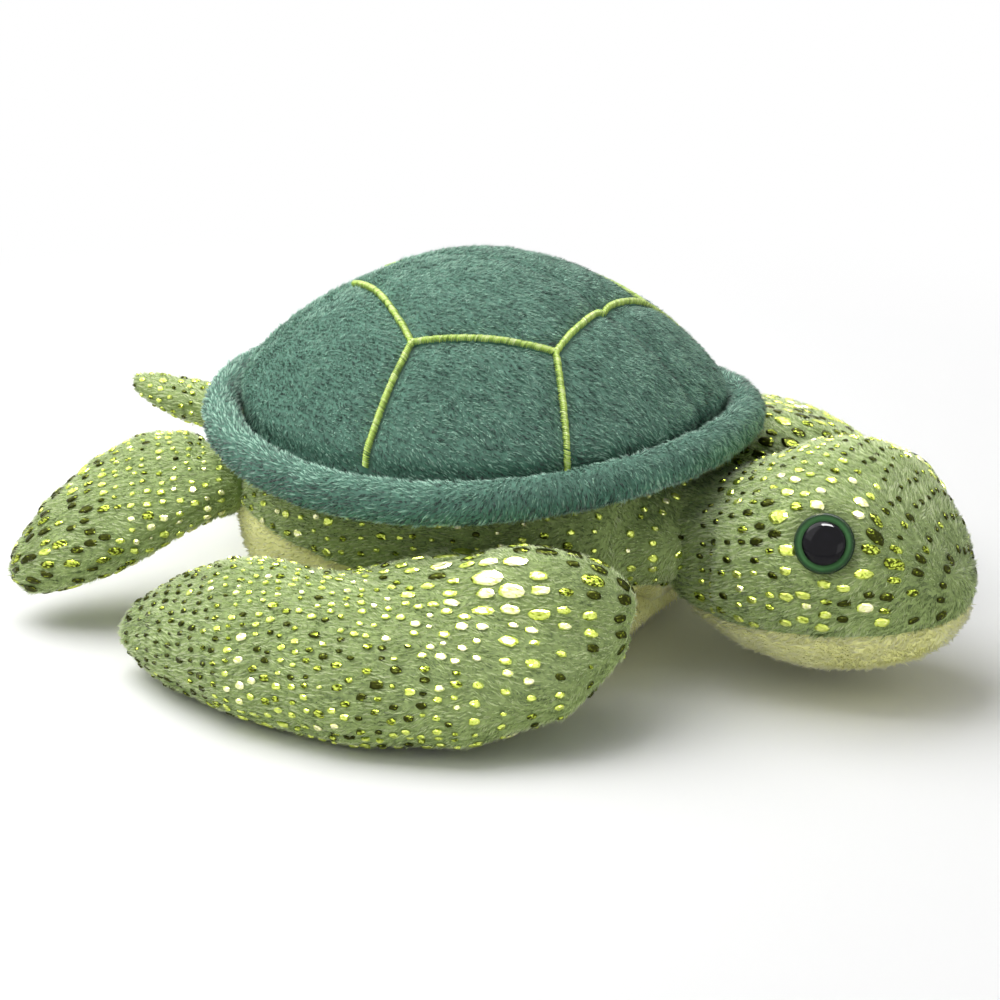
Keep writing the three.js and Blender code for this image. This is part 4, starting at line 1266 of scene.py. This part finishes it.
cup_profile = [(5.0, -1.6), (5.9, -1.2), (6.0, -0.4), (5.9, 0.05), (5.6, 0.15), (4.2, 0.0), (1, 0.0)]
pupil_profile = [(4.2, 0.02), (4.3, 0.5), (4.22, 0.78), (4.05, 0.98), (3.8, 1.15), (3.4, 1.34), (2.8, 1.52),
                 (2.1, 1.66), (1.3, 1.76), (0.5, 1.8)]
iris_inner, iris_outer = 3.9 * mm, 6.0 * mm
eye_pieces = {}
for side, (middle, axis) in eyes.items():
    tips = places(frame["nodes"]["eye_lens_" + side]) @ np.array(axis)
    base = middle + axis * (tips.min() - middle.dot(axis))
    cup, disc = (turned(name + side, [(radius * mm, height * mm) for radius, height in profile], base, axis, paint)
                 for name, profile, paint in (("eye_cup_", cup_profile, iris_paint),
                                              ("eye_pupil_disc_", pupil_profile, pupil_paint)))
    out_by = np.linalg.norm(np.cross(places(cup) - np.array(base), np.array(axis)), axis=1)
    mark(cup, "ring", ease(iris_inner, iris_outer, out_by))
    height = tips.max() - tips.min() - 0.9 * mm
    dome_rows = [(5.75 * mm, 0.1 * mm)] + [
        (5.8 * mm * math.cos(t), 0.3 * mm + (height - 0.3 * mm) * math.sin(t)) for t in np.linspace(0, 1.5, 14)]
    eye_pieces[side] = (cup, disc, turned("eye_dome_" + side, dome_rows, base, axis, lens_paint))
print("eyes:", [[thing.name for thing in pieces] for pieces in eye_pieces.values()])

# %% [markdown]
# ## Putting it together
# The torso's pieces ride on the torso and the eyes on the head; the neck's, the head's and the
# limbs' pieces keep their place. The parts of the frame that each piece stands for are hidden.

# %% Nothing under the table
for thing in [o for o in scene.objects if o.type == "MESH" and o != floor and o.name not in frame["nodes"]]:
    rows = places(thing)
    if rows[:, 2].min() < 0:
        rows[:, 2] = np.maximum(rows[:, 2], 0)
        put(thing, rows)
        print("clamped", thing.name)

# %% What each piece stands for
covers = [
    (shell_left, 0.75, "teal_plush", ("shell_panel_left", "shell_stuffing", "shell_lining")),
    (shell_right, 0.75, "teal_plush", ("shell_panel_right", "shell_stuffing", "shell_lining")),
    (rim, 0.75, "teal_plush", ("shell_rim",)),
    (body_side, 0.75, "foil_plush", ("body_side_panel", "torso_stuffing")),
    (belly, 0.75, "yellow_plush", ("belly_panel", "torso_stuffing")),
    (neck_upper, 0.7, "foil_plush", ("neck_upper_panel", "neck_stuffing")),
    (neck_lower, 0.7, "yellow_plush", ("neck_lower_panel", "neck_stuffing")),
    (crown, 0.85, "foil_plush", ("head_crown_panel", "head_stuffing")),
    (chin, 0.85, "yellow_plush", ("head_chin_panel", "head_stuffing")),
] + [(cover, 0.8, "foil_plush", names) for cover, names in limbs.values()]
for thing, fill, slot, nodes in covers:
    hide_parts(*nodes)
for thing, node in ((stitches_left, "shell_embroidery_left"), (stitches_right, "shell_embroidery_right")):
    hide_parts(node)
for side, pieces in eye_pieces.items():
    for thing, node, slot in zip(pieces, ("eye_iris_", "eye_pupil_", "eye_lens_"),
                                 ("green_iris", "black_pupil", "clear_lens")):
        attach(thing, "head")
        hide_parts(node + side)
print("padded covers:", len(covers))

# %% Ride, or stay in place
for thing in (shell_left, shell_right, rim, body_side, belly, coats["shell_pile_left"], coats["shell_pile_right"],
              coats["rim_pile"], coats["body_pile"], coats["belly_pile"], foils["torso"], stitches_left,
              stitches_right):
    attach(thing, "torso")
for thing in (neck_upper, neck_lower, coats["neck_pile_upper"], coats["neck_pile_lower"]):
    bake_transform(thing)
for thing in (crown, chin, coats["crown_pile"], coats["chin_pile"], foils["head"]):
    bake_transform(thing)
for limb, (cover, names) in limbs.items():
    root, hinge, out = roots[limb]
    for thing in (cover, coats[limb], foils[limb]):
        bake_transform(thing)
print("bends:", ["neck", "head"] + list(limbs))

# %% Paint on the parts that stay
nylon = Paint("white_nylon_paint", Roughness=0.45)
nylon.feed("Base Color", nylon.mix(nylon.noise(200, 2), (0.78, 0.78, 0.76, 1), (0.85, 0.85, 0.83, 1)))
nylon.bump(nylon.noise(900, 1), 0.0001, 0.3)
for side in ("left", "right"):
    for slot in frame["nodes"]["eye_washer_" + side].material_slots:
        slot.material = nylon.material
print("washers:", nylon.material.name)
